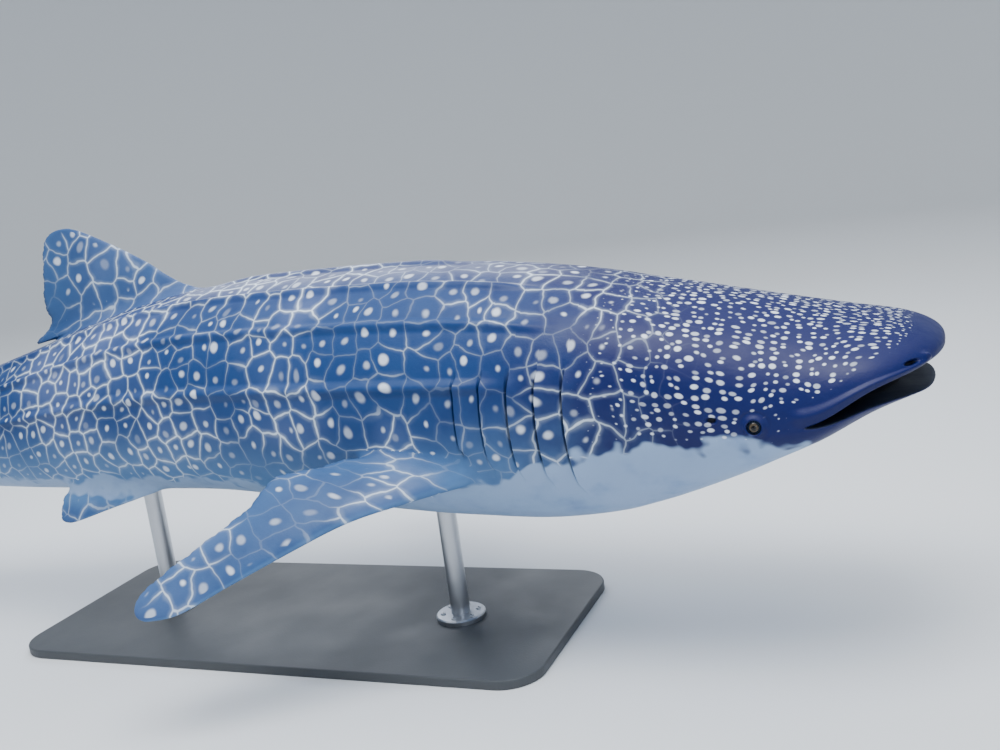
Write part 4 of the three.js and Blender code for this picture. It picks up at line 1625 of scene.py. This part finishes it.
@dataclass
class SkinWork:
    """The joined skin's points while they are smoothed and carved, as arrays."""

    mesh: bpy.types.Mesh
    points: Array = field(init=False)
    edges: Array = field(init=False)

    def __post_init__(self) -> None:
        """Reads the points and edges."""
        self.points = np.empty(len(self.mesh.vertices) * 3, np.float32)
        self.mesh.vertices.foreach_get("co", self.points)
        self.points = self.points.reshape(-1, 3).astype(float)
        self.edges = np.empty(len(self.mesh.edges) * 2, np.int32)
        self.mesh.edges.foreach_get("vertices", self.edges)
        self.edges = self.edges.reshape(-1, 2)

    def corner_vertices(self) -> Array:
        """Reads the vertex of each corner.

        Returns:
            The vertex numbers.
        """
        vertices = np.empty(len(self.mesh.loops), np.int32)
        self.mesh.loops.foreach_get("vertex_index", vertices)
        return vertices

    def corner_pieces(self) -> Array:
        """Reads what each corner was before the join.

        Returns:
            The number of its Piece.
        """
        values = np.empty(len(self.mesh.loops) * 3, np.float32)
        self.mesh.attributes["lie"].data.foreach_get("vector", values)
        return values.reshape(-1, 3)[:, 2]

    def seams(self) -> tuple[Array, Array]:
        """Finds the vertices where a fin leaves the body, and those at the edge of the mouth.

        Returns:
            Two masks over the vertices.
        """
        vertices = self.corner_vertices()
        pieces = self.corner_pieces()
        low = np.full(len(self.points), np.inf)
        high = np.full(len(self.points), -np.inf)
        np.minimum.at(low, vertices, pieces)
        np.maximum.at(high, vertices, pieces)
        mixed = high - low > 0.5
        lips = mixed & (np.abs(high - Piece.MOUTH.value) < 0.5)
        return mixed & ~lips, lips

    def distance_from(self, seeds: Array, reach: float) -> Array:
        """Measures how far each vertex is from the nearest seed, along the edges.

        Args:
            seeds: a mask over the vertices.
            reach: the distance past which it no longer matters, in metres.

        Returns:
            The distance of each vertex, infinite out of reach.
        """
        distance = np.where(seeds, 0.0, np.inf)
        box_low = self.points[seeds].min(axis=0) - reach
        box_high = self.points[seeds].max(axis=0) + reach
        in_box = np.all((self.points > box_low) & (self.points < box_high), axis=1)
        edges = self.edges[in_box[self.edges].all(axis=1)]
        lengths = np.linalg.norm(self.points[edges[:, 0]] - self.points[edges[:, 1]], axis=1)
        for _ in range(60):
            before = distance.copy()
            for a, b in ((0, 1), (1, 0)):
                np.minimum.at(distance, edges[:, b], distance[edges[:, a]] + lengths)
            distance[distance > reach] = np.inf
            if np.array_equal(before, distance):
                break
        return distance

    def relax(self, weight: Array, rounds: int) -> None:
        """Moves each vertex towards the middle of its neighbours.

        Args:
            weight: how far it goes each round, from 0 to 1.
            rounds: how many rounds.
        """
        touched = np.zeros(len(self.points), bool)
        touched[weight > 0] = True
        edges = self.edges[touched[self.edges].any(axis=1)]
        used, local = np.unique(edges, return_inverse=True)
        local = local.reshape(-1, 2)
        points = self.points[used]
        pull = weight[used][:, None]
        a, b = local[:, 0], local[:, 1]
        count = np.bincount(a, minlength=len(used)) + np.bincount(b, minlength=len(used))
        for _ in range(rounds):
            total = np.stack(
                [
                    np.bincount(a, points[b, k], len(used)) + np.bincount(b, points[a, k], len(used))
                    for k in range(3)
                ],
                1,
            )
            points = points + pull * (total / count[:, None] - points)
        self.points[used] = points

    def store(self) -> None:
        """Writes the points back to the mesh."""
        self.mesh.vertices.foreach_set("co", self.points.astype(np.float32).ravel())
        self.mesh.update()

    def add_recess_shade(self, crease: Array) -> None:
        """Adds painted shade in recesses, given on the vertices, to the painted shade that the corners
        carry.

        Args:
            crease: how dark each vertex is, from 0 to 1.
        """
        data = self.mesh.attributes["crease"].data
        values = np.empty(len(self.mesh.loops), np.float32)
        data.foreach_get("value", values)
        data.foreach_set("value", np.maximum(values, crease[self.corner_vertices()]).astype(np.float32))


@dataclass(frozen=True)
class EyeSocket:
    """The round opening of the eye, with its raised rim, and the small breathing hole behind it."""

    radius: float = 27.0
    proud: float = 9.0
    opening: float = 21.5
    rim_crest: float = 28.0
    rim_foot: float = 44.0
    rim_rise: float = 8.5
    depth: float = 15.0
    hole_station: float = 10.5
    hole_height: float = -0.75
    hole_long: float = 17.0
    hole_tall: float = 11.0
    hole_depth: float = 13.0

    def centre(self, body: BodyForm, hand: Hand) -> tuple[Vector, Vector, Vector]:
        """Finds where the eye sits.

        Args:
            body: the form of the body.
            hand: which side.

        Returns:
            The point on the skin, the direction out of it, and the centre of the ball.
        """
        station, height = body.eye
        point, normal = body.on_skin(station, body.angle_at(station, height), hand)
        return point, normal, point + normal * (self.proud - self.radius) * MILLIMETRE

    def carve(self, work: SkinWork, body: BodyForm, hand: Hand) -> Array:
        """Shapes the socket, its rim and the hole behind it.

        Args:
            work: the skin's points.
            body: the form of the body.
            hand: which side.

        Returns:
            How dark the painted shade in the socket and in the hole behind it makes each vertex.
        """
        point, normal, _ = self.centre(body, hand)
        off = work.points - np.array(point)
        out = off @ np.array(normal)
        across = np.linalg.norm(off - out[:, None] * np.array(normal), axis=1) / MILLIMETRE
        near = (across < self.rim_foot + 30) & (np.abs(out) < 0.09)
        rim = ease((across - self.opening) / (self.rim_crest - self.opening)) ** 0.8
        rim = rim * ease((self.rim_foot - across) / (self.rim_foot - self.rim_crest))
        sunk = ease((self.opening + 1.5 - across) / 3.0)
        groove = np.exp(-(((across - self.rim_foot - 6) / 6) ** 2))
        lift = np.where(near, self.rim_rise * rim - self.depth * sunk - 2.2 * groove, 0.0)
        # Painted shade just inside the socket's opening.
        shade = np.where(near, ease((self.opening + 5 - across) / 4), 0.0)

        point, hole_out = body.on_skin(
            self.hole_station, body.angle_at(self.hole_station, self.hole_height), hand
        )
        off = work.points - np.array(point)
        run = off[:, 0] / MILLIMETRE
        rise = off[:, 2] / MILLIMETRE
        near = np.abs(off[:, 1]) < 0.08
        hole = np.sqrt((run / self.hole_long) ** 2 + (rise / self.hole_tall) ** 2)
        bowl = np.where(near, ease((1.15 - hole) / 0.6), 0.0)
        lip = np.where(near, np.exp(-(((hole - 1.45) / 0.28) ** 2)), 0.0)
        shift = lift[:, None] * np.array(normal)
        shift = shift + (2.0 * lip - self.hole_depth * bowl)[:, None] * np.array(hole_out)
        work.points += shift * MILLIMETRE
        # The hole's bowl gets painted shade too.
        return np.maximum(shade, ease((bowl - 0.35) / 0.5))


@dataclass(frozen=True)
class Nostril:
    """A slot just above the upper lip, with a blunt barbel on its inner side."""

    station: float = 1.35
    angle: float = 76.0
    long: float = 38.0
    tall: float = 10.0
    depth: float = 20.0
    barbel_station: float = 0.75
    barbel_angle: float = 74.0
    barbel: tuple[float, float, float] = (20.0, 9.0, 15.0)

    def carve(self, work: SkinWork, body: BodyForm, hand: Hand) -> Array:
        """Sinks the slot into the skin.

        Args:
            work: the skin's points.
            body: the form of the body.
            hand: which side.

        Returns:
            How dark the painted shade in the slot makes each vertex.
        """
        point, normal = body.on_skin(self.station, self.angle, hand)
        ahead, _ = body.on_skin(self.station - 0.35, self.angle, hand)
        lengthwise = (ahead - point).normalized()
        across = normal.cross(lengthwise).normalized()
        off = work.points - np.array(point)
        run = off @ np.array(lengthwise) / (self.long * MILLIMETRE)
        rise = off @ np.array(across) / (self.tall * MILLIMETRE)
        near = np.abs(off @ np.array(normal)) < 0.05
        slot = np.where(near, ease((1.1 - np.hypot(run, rise)) / 0.8), 0.0)
        work.points -= (self.depth * MILLIMETRE * slot)[:, None] * np.array(normal)
        # Painted shade in the slot.
        return ease((slot - 0.3) / 0.5)

    def lobe(self, body: BodyForm, hand: Hand) -> Loft:
        """Builds the barbel as a small rounded lobe.

        Args:
            body: the form of the body.
            hand: which side.

        Returns:
            The loft.
        """
        point, normal = body.on_skin(self.barbel_station, self.barbel_angle, hand)
        sizes = [r * MILLIMETRE for r in self.barbel]
        points = rounded_ball(point, normal, (sizes[0], sizes[1], sizes[2]), 24, 36)
        corner = (0.95, 0.62 if hand is Hand.RIGHT else 0.66)
        return plain_loft(f"barbel_{hand.name.lower()}", points, Piece.BARBEL, corner)


def rounded_ball(
    centre: Vector, axis: Vector, sizes: tuple[float, float, float], rings: int, columns: int
) -> Array:
    """Places the points of a stretched ball.

    Args:
        centre: its middle.
        axis: the direction of its third size.
        sizes: its three half lengths in metres.
        rings: how many rings of points.
        columns: how many points in each.

    Returns:
        The rings of points.
    """
    turn = np.array(Vector((0, 0, 1)).rotation_difference(axis).to_matrix())
    down = np.linspace(0.02, math.pi - 0.02, rings)[:, None]
    round_ = np.linspace(0, 2 * math.pi, columns, endpoint=False)[None, :]
    ball = np.stack(
        [
            sizes[0] * np.sin(down) * np.cos(round_),
            sizes[1] * np.sin(down) * np.sin(round_),
            sizes[2] * np.cos(down) + 0 * round_,
        ],
        -1,
    )
    return ball @ turn.T + np.array(centre)


@dataclass(frozen=True)
class MouthSpace:
    """What is cut out of the head between the lips, and the hollow behind them."""

    ahead: float = -1.2
    reach: float = 8.0
    step: float = 0.1
    hollow_station: float = 4.9
    hollow_height: float = -0.3
    hollow: tuple[float, float, float] = (2.8, 4.5, 1.1)

    def cutters(self, body: BodyForm) -> list[Loft]:
        """Builds the gap between the lips and the hollow of the mouth.

        Args:
            body: the form of the body.

        Returns:
            The two lofts to cut away.
        """
        upper_run = np.arange(self.ahead, body.mouth_corner, self.step)
        run = np.concatenate([upper_run, [body.mouth_corner], upper_run[::-1]])
        held = np.maximum(run, 0)
        height = body.centre(held)
        lower = np.arange(len(run)) > len(upper_run)
        height = np.where(lower, height - body.opening(held) - 0.004, height)
        across = np.arange(-self.reach, self.reach + self.step, self.step * 1.1)[:, None]
        gap = body.swim.place(run[None, :], across, height[None, :])
        centre = Vector(body.swim.place(self.hollow_station, 0.0, self.hollow_height))
        sizes = [r * HUNDREDTH for r in self.hollow]
        hollow = rounded_ball(centre, Vector((0, 0, 1)), (sizes[0], sizes[1], sizes[2]), 60, 100)
        return [
            plain_loft("mouth_gap", gap, Piece.MOUTH, (0.95, 0.7)),
            plain_loft("mouth_hollow", hollow, Piece.MOUTH, (0.95, 0.74)),
        ]


@dataclass
class SharkSkin:
    """The one skin over the head, body and fins."""

    body: BodyForm
    socket: EyeSocket
    nostril: Nostril
    mouth: MouthSpace
    finish: SharkSkinFinish
    fin_smoothing: float = 0.085
    fin_rounds: int = 46
    lip_smoothing: float = 0.03
    lip_rounds: int = 22
    nodes: tuple[str, ...] = (
        "head",
        "lower_jaw",
        "gills",
        "torso",
        "tail_base",
        "peduncle",
        "first_dorsal_fin",
        "second_dorsal_fin",
        "anal_fin",
        "caudal_fin_upper",
        "caudal_fin_lower",
        "pectoral_fin_right",
        "pectoral_fin_left",
        "pelvic_fin_right",
        "pelvic_fin_left",
    )

    def fins(self) -> list[Loft]:
        """Builds all nine fins, each with its own cell on the bake map.

        Returns:
            The lofts.
        """
        made = []
        width = 0.103
        for i, fin in enumerate(MIDDLE_FINS):
            made.append(fin.loft(self.body, Hand.RIGHT, (0.005 + i * width, 0.61, width - 0.004, 0.38)))
        left = 0.005 + len(MIDDLE_FINS) * width
        for i, fin in enumerate(PAIRED_FINS):
            for k, hand in enumerate(Hand):
                cell = (left + (2 * i + k) * width, 0.61, width - 0.004, 0.38)
                made.append(fin.loft(self.body, hand, cell))
        return made

    def build(self) -> bpy.types.Object:
        """Joins, smooths and carves the skin, and dresses it.

        Returns:
            The skin.
        """
        skin = SkinGrid(self.body).loft().mesh_object()
        log.info("body grid: %d faces", len(skin.data.polygons))
        lobes = [self.nostril.lobe(self.body, hand) for hand in Hand]
        self.combine(skin, [*self.fins(), *lobes], "UNION")
        self.combine(skin, self.mouth.cutters(self.body), "DIFFERENCE")
        log.info("joined skin: %d faces", len(skin.data.polygons))
        work = SkinWork(skin.data)
        roots, lips = work.seams()
        for seeds, reach, rounds in (
            (roots, self.fin_smoothing, self.fin_rounds),
            (lips, self.lip_smoothing, self.lip_rounds),
        ):
            distance = work.distance_from(seeds, reach)
            weight = np.where(np.isfinite(distance), 0.9 * ease(1 - distance / reach), 0.0)
            work.relax(weight, rounds)
        # Painted shade in the eye sockets, breathing holes and nostril slots joins that of the gill slits.
        crease = np.zeros(len(work.points))
        for hand in Hand:
            crease = np.maximum(crease, self.socket.carve(work, self.body, hand))
            crease = np.maximum(crease, self.nostril.carve(work, self.body, hand))
        work.store()
        work.add_recess_shade(crease)
        skin.data.shade_smooth()
        skin.data.materials.clear()
        skin.data.materials.append(self.finish.material())
        skin.data.uv_layers[BAKE_MAP].active = True
        skin.data.uv_layers[BAKE_MAP].active_render = True
        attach(skin, "root")
        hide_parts(*self.nodes)
        return skin

    @staticmethod
    def combine(skin: bpy.types.Object, lofts: list[Loft], operation: str) -> None:
        """Adds or cuts several closed surfaces, and removes them.

        Args:
            skin: the surface that is changed.
            lofts: what is added or cut.
            operation: Blender's word for it.
        """
        group = bpy.data.collections.new("joined")
        bpy.context.scene.collection.children.link(group)
        pieces = [loft.mesh_object() for loft in lofts]
        for piece in pieces:
            bpy.context.scene.collection.objects.unlink(piece)
            group.objects.link(piece)
        joining = skin.modifiers.new("joining", "BOOLEAN")
        joining.operation = operation
        joining.solver = "MANIFOLD"
        joining.operand_type = "COLLECTION"
        joining.collection = group
        shaped = skin.evaluated_get(bpy.context.evaluated_depsgraph_get())
        joined = bpy.data.meshes.new_from_object(shaped)
        skin.modifiers.remove(joining)
        before = skin.data
        skin.data = joined
        bpy.data.meshes.remove(before)
        for piece in pieces:
            mesh = piece.data
            bpy.data.objects.remove(piece)
            bpy.data.meshes.remove(mesh)
        bpy.data.collections.remove(group)


@dataclass(frozen=True)
class Eye:
    """One eyeball with a slight dome in front."""

    socket: EyeSocket
    hand: Hand
    finish: EyeFinish
    play: float = 0.3
    dome: float = 1.6
    dome_radius: float = 13.5
    rings: int = 48
    columns: int = 64

    def build(self, body: BodyForm, material: bpy.types.Material) -> bpy.types.Object:
        """Builds and dresses the eye.

        Args:
            body: the form of the body.
            material: what both eyes are made of.

        Returns:
            The eye.
        """
        _, normal, centre = self.socket.centre(body, self.hand)
        radius = (self.socket.radius - self.play) * MILLIMETRE
        points = rounded_ball(centre, normal, (radius, radius, radius), self.rings, self.columns)
        off = points - np.array(centre)
        out = off @ np.array(normal)
        across = np.linalg.norm(off - out[..., None] * np.array(normal), axis=2) / MILLIMETRE
        bulge = np.where(out > 0, self.dome * ease(1 - across / self.dome_radius), 0.0)
        points = points + (bulge * MILLIMETRE)[..., None] * np.array(normal)
        loft = plain_loft(f"eyeball_{self.hand.name.lower()}", points, Piece.BODY, (0.0, 0.0))
        rings, columns = points.shape[:2]
        u, v = np.meshgrid(np.linspace(0, 1, rings), np.linspace(0, 1, columns + 1), indexing="ij")
        turn = 2 * math.pi * v
        loft.bake = np.stack([0.5 + 0.48 * u * np.cos(turn), 0.5 + 0.48 * u * np.sin(turn)], -1)
        made = loft.mesh_object()
        front = np.where(out > 0, across, 99.0)
        spread = np.concatenate([front.ravel(), [0.0, 99.0]])
        carried = made.data.attributes.new("off_axis", "FLOAT", "POINT")
        carried.data.foreach_set("value", spread.astype(np.float32))
        made.data.shade_smooth()
        made.data.materials.append(material)
        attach(made, "root")
        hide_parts(f"eye_{self.hand.name.lower()}")
        return made


# The stand


@dataclass(frozen=True)
class DisplayStand:
    """The flat base and two rods, with the screws of the collars and the sleeves under the belly."""

    body: BodyForm
    rod_stations: Table = (29.0, 51.0)
    rod_radius: float = 42.0
    collar_top: float = 62.3
    screw_circle: float = 78.0
    screws: int = 6
    screw_radius: float = 11.0
    screw_rise: float = 7.0
    recess_radius: float = 4.6
    recess_depth: float = 4.5
    sleeve_wall: float = 7.0
    sleeve_below: float = 30.0
    sleeve_above: float = 25.0

    def build(self) -> list[bpy.types.Object]:
        """Dresses the base and rods and adds the small pieces.

        Returns:
            The pieces that were added.
        """
        steel = BrushedSteelFinish().material()
        self.dress("stand_base", PowderCoatFinish().material())
        self.dress("stand_rod_front", steel)
        self.dress("stand_rod_rear", steel)
        rubber = RubberFinish().material()
        made = []
        for name, station in zip(("front", "rear"), self.rod_stations):
            foot = self.body.swim.place(station, 0.0, 0.0)
            made.append(self.screw_ring(f"collar_screws_{name}", foot, steel))
            made.append(self.sleeve(f"rod_sleeve_{name}", station, foot, rubber))
        return made

    @staticmethod
    def dress(node: str, material: bpy.types.Material) -> None:
        """Gives a solid of the part its finish.

        Args:
            node: the name of the solid.
            material: the finish.
        """
        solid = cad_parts[node]
        for slot in solid.material_slots:
            slot.material = material

    def turned(self, outline: list[tuple[float, float]], columns: int, hexagon_from: int) -> Array:
        """Turns an outline about an upright axis.

        Args:
            outline: radius and height of each ring, in millimetres.
            columns: how many points in a ring.
            hexagon_from: the ring from which the rings are six-sided.

        Returns:
            The rings of points about the origin, in metres.
        """
        round_ = np.linspace(0, 2 * math.pi, columns, endpoint=False)
        side = np.mod(round_, math.pi / 3) - math.pi / 6
        hexagon = math.cos(math.pi / 6) / np.cos(side)
        rings = []
        for i, (radius, height) in enumerate(outline):
            r = radius * (hexagon if i >= hexagon_from else 1.0)
            rings.append(np.stack([r * np.cos(round_), r * np.sin(round_), np.full(columns, height)], -1))
        return np.array(rings) * MILLIMETRE

    def screw_ring(self, name: str, foot: Array, steel: bpy.types.Material) -> bpy.types.Object:
        """Builds the button-head screws round one collar, as one mesh.

        Args:
            name: the name of the piece.
            foot: the place of the rod.
            steel: what they are made of.

        Returns:
            The screws.
        """
        r, h = self.screw_radius, self.screw_rise
        outline = [(r, -0.5), (r, 1.0), (r * 0.97, 2.6), (r * 0.86, 4.8), (r * 0.68, 6.3), (r * 0.52, h)]
        outline += [(self.recess_radius * 1.08, h), (self.recess_radius, h - 0.4)]
        outline += [(self.recess_radius, h - self.recess_depth), (0.4, h - self.recess_depth)]
        head = self.turned(outline, 36, 6)
        rings = []
        for k in range(self.screws):
            angle = 2 * math.pi * (k + 0.5) / self.screws
            shift = np.array(
                [
                    foot[0] + self.screw_circle * MILLIMETRE * math.cos(angle),
                    foot[1] + self.screw_circle * MILLIMETRE * math.sin(angle),
                    self.collar_top * MILLIMETRE,
                ]
            )
            ring = plain_loft(f"{name}_{k}", head + shift, Piece.BODY, (0.1 * k, 0.0))
            rings.append(ring.mesh_object())
        first = rings[0]
        with bpy.context.temp_override(
            active_object=first, selected_editable_objects=rings, object=first, selected_objects=rings
        ):
            bpy.ops.object.join()
        first.name = name
        first.data.materials.append(steel)
        first.data.shade_smooth()
        first.data.set_sharp_from_angle(angle=math.radians(32))
        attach(first, "root")
        return first

    def sleeve(
        self, name: str, station: float, foot: Array, rubber: bpy.types.Material
    ) -> bpy.types.Object:
        """Builds the rubber sleeve where a rod meets the belly.

        Args:
            name: the name of the piece.
            station: the station of the rod.
            foot: the place of the rod.
            rubber: what it is made of.

        Returns:
            The sleeve.
        """
        belly = float(self.body.skin(station, 180.0, 1.0)[0][2]) / MILLIMETRE
        outer = self.rod_radius + self.sleeve_wall
        low = belly - self.sleeve_below
        outline = [(self.rod_radius - 1, low + 2), (self.rod_radius + 1.5, low), (outer - 2.5, low)]
        outline += [(outer - 0.7, low + 0.8), (outer, low + 2.8), (outer, low + 9)]
        outline += [(outer + 1, low + 16), (outer + 4, low + 24), (outer + 9, belly + 4)]
        outline += [(outer + 10, belly + self.sleeve_above)]
        points = self.turned(outline, 72, len(outline)) + np.array([foot[0], foot[1], 0.0])
        made = plain_loft(name, points, Piece.BODY, (0.3, 0.3)).mesh_object()
        made.data.materials.append(rubber)
        made.data.shade_smooth()
        made.data.set_sharp_from_angle(angle=math.radians(50))
        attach(made, "root")
        return made


# The studio


@dataclass(frozen=True)
class Studio:
    """A pale floor, soft light from above and both sides, and the camera."""

    flat_radius: float = 17.0
    sweep_radius: float = 7.0
    wall_height: float = 16.0
    sky: str = "#dfe5ec"
    sky_strength: float = 0.75
    aim: tuple[float, float, float] = (1.106, 0.0, 1.1136)
    turn: float = 23.5
    tilt: float = 11.4
    roll: float = -7.7
    distance: float = 4.571
    focal_pixels: float = 1120.0
    image_width: float = 1000.0
    sensor: float = 36.0

    def floor(self) -> bpy.types.Object:
        """Builds the floor, which sweeps up into a wall far behind the model on every side.

        Returns:
            The floor.
        """
        turns = np.linspace(0, math.pi / 2, 13)
        outline = [(0.01, 0.0), (self.flat_radius / 2, 0.0)]
        outline += [
            (
                self.flat_radius + self.sweep_radius * math.sin(a),
                self.sweep_radius * (1 - math.cos(a)),
            )
            for a in turns
        ]
        outline.append((self.flat_radius + self.sweep_radius, self.wall_height))
        columns = 96
        round_ = np.linspace(0, 2 * math.pi, columns, endpoint=False)
        points = [(r * math.cos(a), r * math.sin(a), z) for r, z in outline for a in round_]
        faces = [tuple(range(columns))]
        for i in range(len(outline) - 1):
            for k in range(columns):
                low, high = i * columns, (i + 1) * columns
                faces.append((low + k, high + k, high + (k + 1) % columns, low + (k + 1) % columns))
        mesh = bpy.data.meshes.new("floor")
        mesh.from_pydata(points, [], faces)
        mesh.shade_smooth()
        made = bpy.data.objects.new("floor", mesh)
        bpy.context.scene.collection.objects.link(made)
        made.data.materials.append(StudioFloorFinish().material())
        return made

    def lights(self) -> None:
        """Hangs four soft lights and sets the pale surroundings."""
        for name, place, aim, size, power, colour in (
            ("ceiling", (0.0, 0.0, 13.0), (0.0, 0.0, 0.0), (22.0, 22.0), 2600.0, "#f6f8fb"),
            ("key", (1.6, -2.2, 6.4), (0.6, 0.0, 1.0), (5.0, 3.0), 480.0, "#ffffff"),
            ("fill", (5.5, -5.5, 2.6), (1.4, 0.0, 1.0), (3.0, 3.0), 70.0, "#dbe8ff"),
            ("back", (-2.5, 5.0, 4.6), (0.0, 0.0, 1.2), (5.0, 2.5), 240.0, "#eef4ff"),
        ):
            light = bpy.data.lights.new(name, "AREA")
            light.shape = "RECTANGLE"
            light.size, light.size_y = size
            light.energy = power
            light.color = srgb(colour)[:3]
            hung = bpy.data.objects.new(name, light)
            hung.location = place
            hung.rotation_euler = (Vector(aim) - Vector(place)).to_track_quat("-Z", "Y").to_euler()
            bpy.context.scene.collection.objects.link(hung)
        world = bpy.data.worlds.new("surroundings")
        world.use_nodes = True
        world.node_tree.nodes.clear()
        sky = add_node(
            world.node_tree,
            "ShaderNodeBackground",
            {"Color": srgb(self.sky), "Strength": self.sky_strength},
        )
        add_node(world.node_tree, "ShaderNodeOutputWorld", {"Surface": sky.outputs[0]})
        bpy.context.scene.world = world

    def camera(self) -> bpy.types.Object:
        """Places the camera at the photograph's viewing angle.

        Returns:
            The camera.
        """
        turn, tilt, roll = (math.radians(a) for a in (self.turn, self.tilt, self.roll))
        ahead = math.cos(tilt)
        view = Vector((-math.sin(turn) * ahead, math.cos(turn) * ahead, -math.sin(tilt)))
        right = Vector((math.cos(turn), math.sin(turn), 0.0))
        up = right.cross(view)
        across = right * math.cos(roll) + up * math.sin(roll)
        upward = up * math.cos(roll) - right * math.sin(roll)
        place = Vector(self.aim) - view * self.distance
        lens = bpy.data.cameras.new("camera")
        lens.sensor_width = self.sensor
        lens.lens = self.focal_pixels / self.image_width * self.sensor
        lens.clip_end = 200.0
        made = bpy.data.objects.new("camera", lens)
        basis = Matrix((across, upward, -view)).transposed().to_4x4()
        made.matrix_world = Matrix.Translation(place) @ basis
        bpy.context.scene.collection.objects.link(made)
        bpy.context.scene.camera = made
        return made


def main() -> None:
    """Builds every piece in order and reports it."""
    logging.basicConfig(level=logging.INFO, format="%(name)s: %(message)s")
    studio = Studio()
    studio.camera()
    studio.floor()
    studio.lights()
    log.info("studio ready")
    body = BodyForm()
    socket = EyeSocket()
    skin = SharkSkin(body, socket, Nostril(), MouthSpace(), SharkSkinFinish()).build()
    log.info("skin: %d faces", len(skin.data.polygons))
    eye_material = EyeFinish().material()
    for hand in Hand:
        eye = Eye(socket, hand, EyeFinish()).build(body, eye_material)
        log.info("%s: %d faces", eye.name, len(eye.data.polygons))
    for piece in DisplayStand(body).build():
        log.info("%s: %d faces", piece.name, len(piece.data.polygons))


if __name__ == "__main__":
    main()
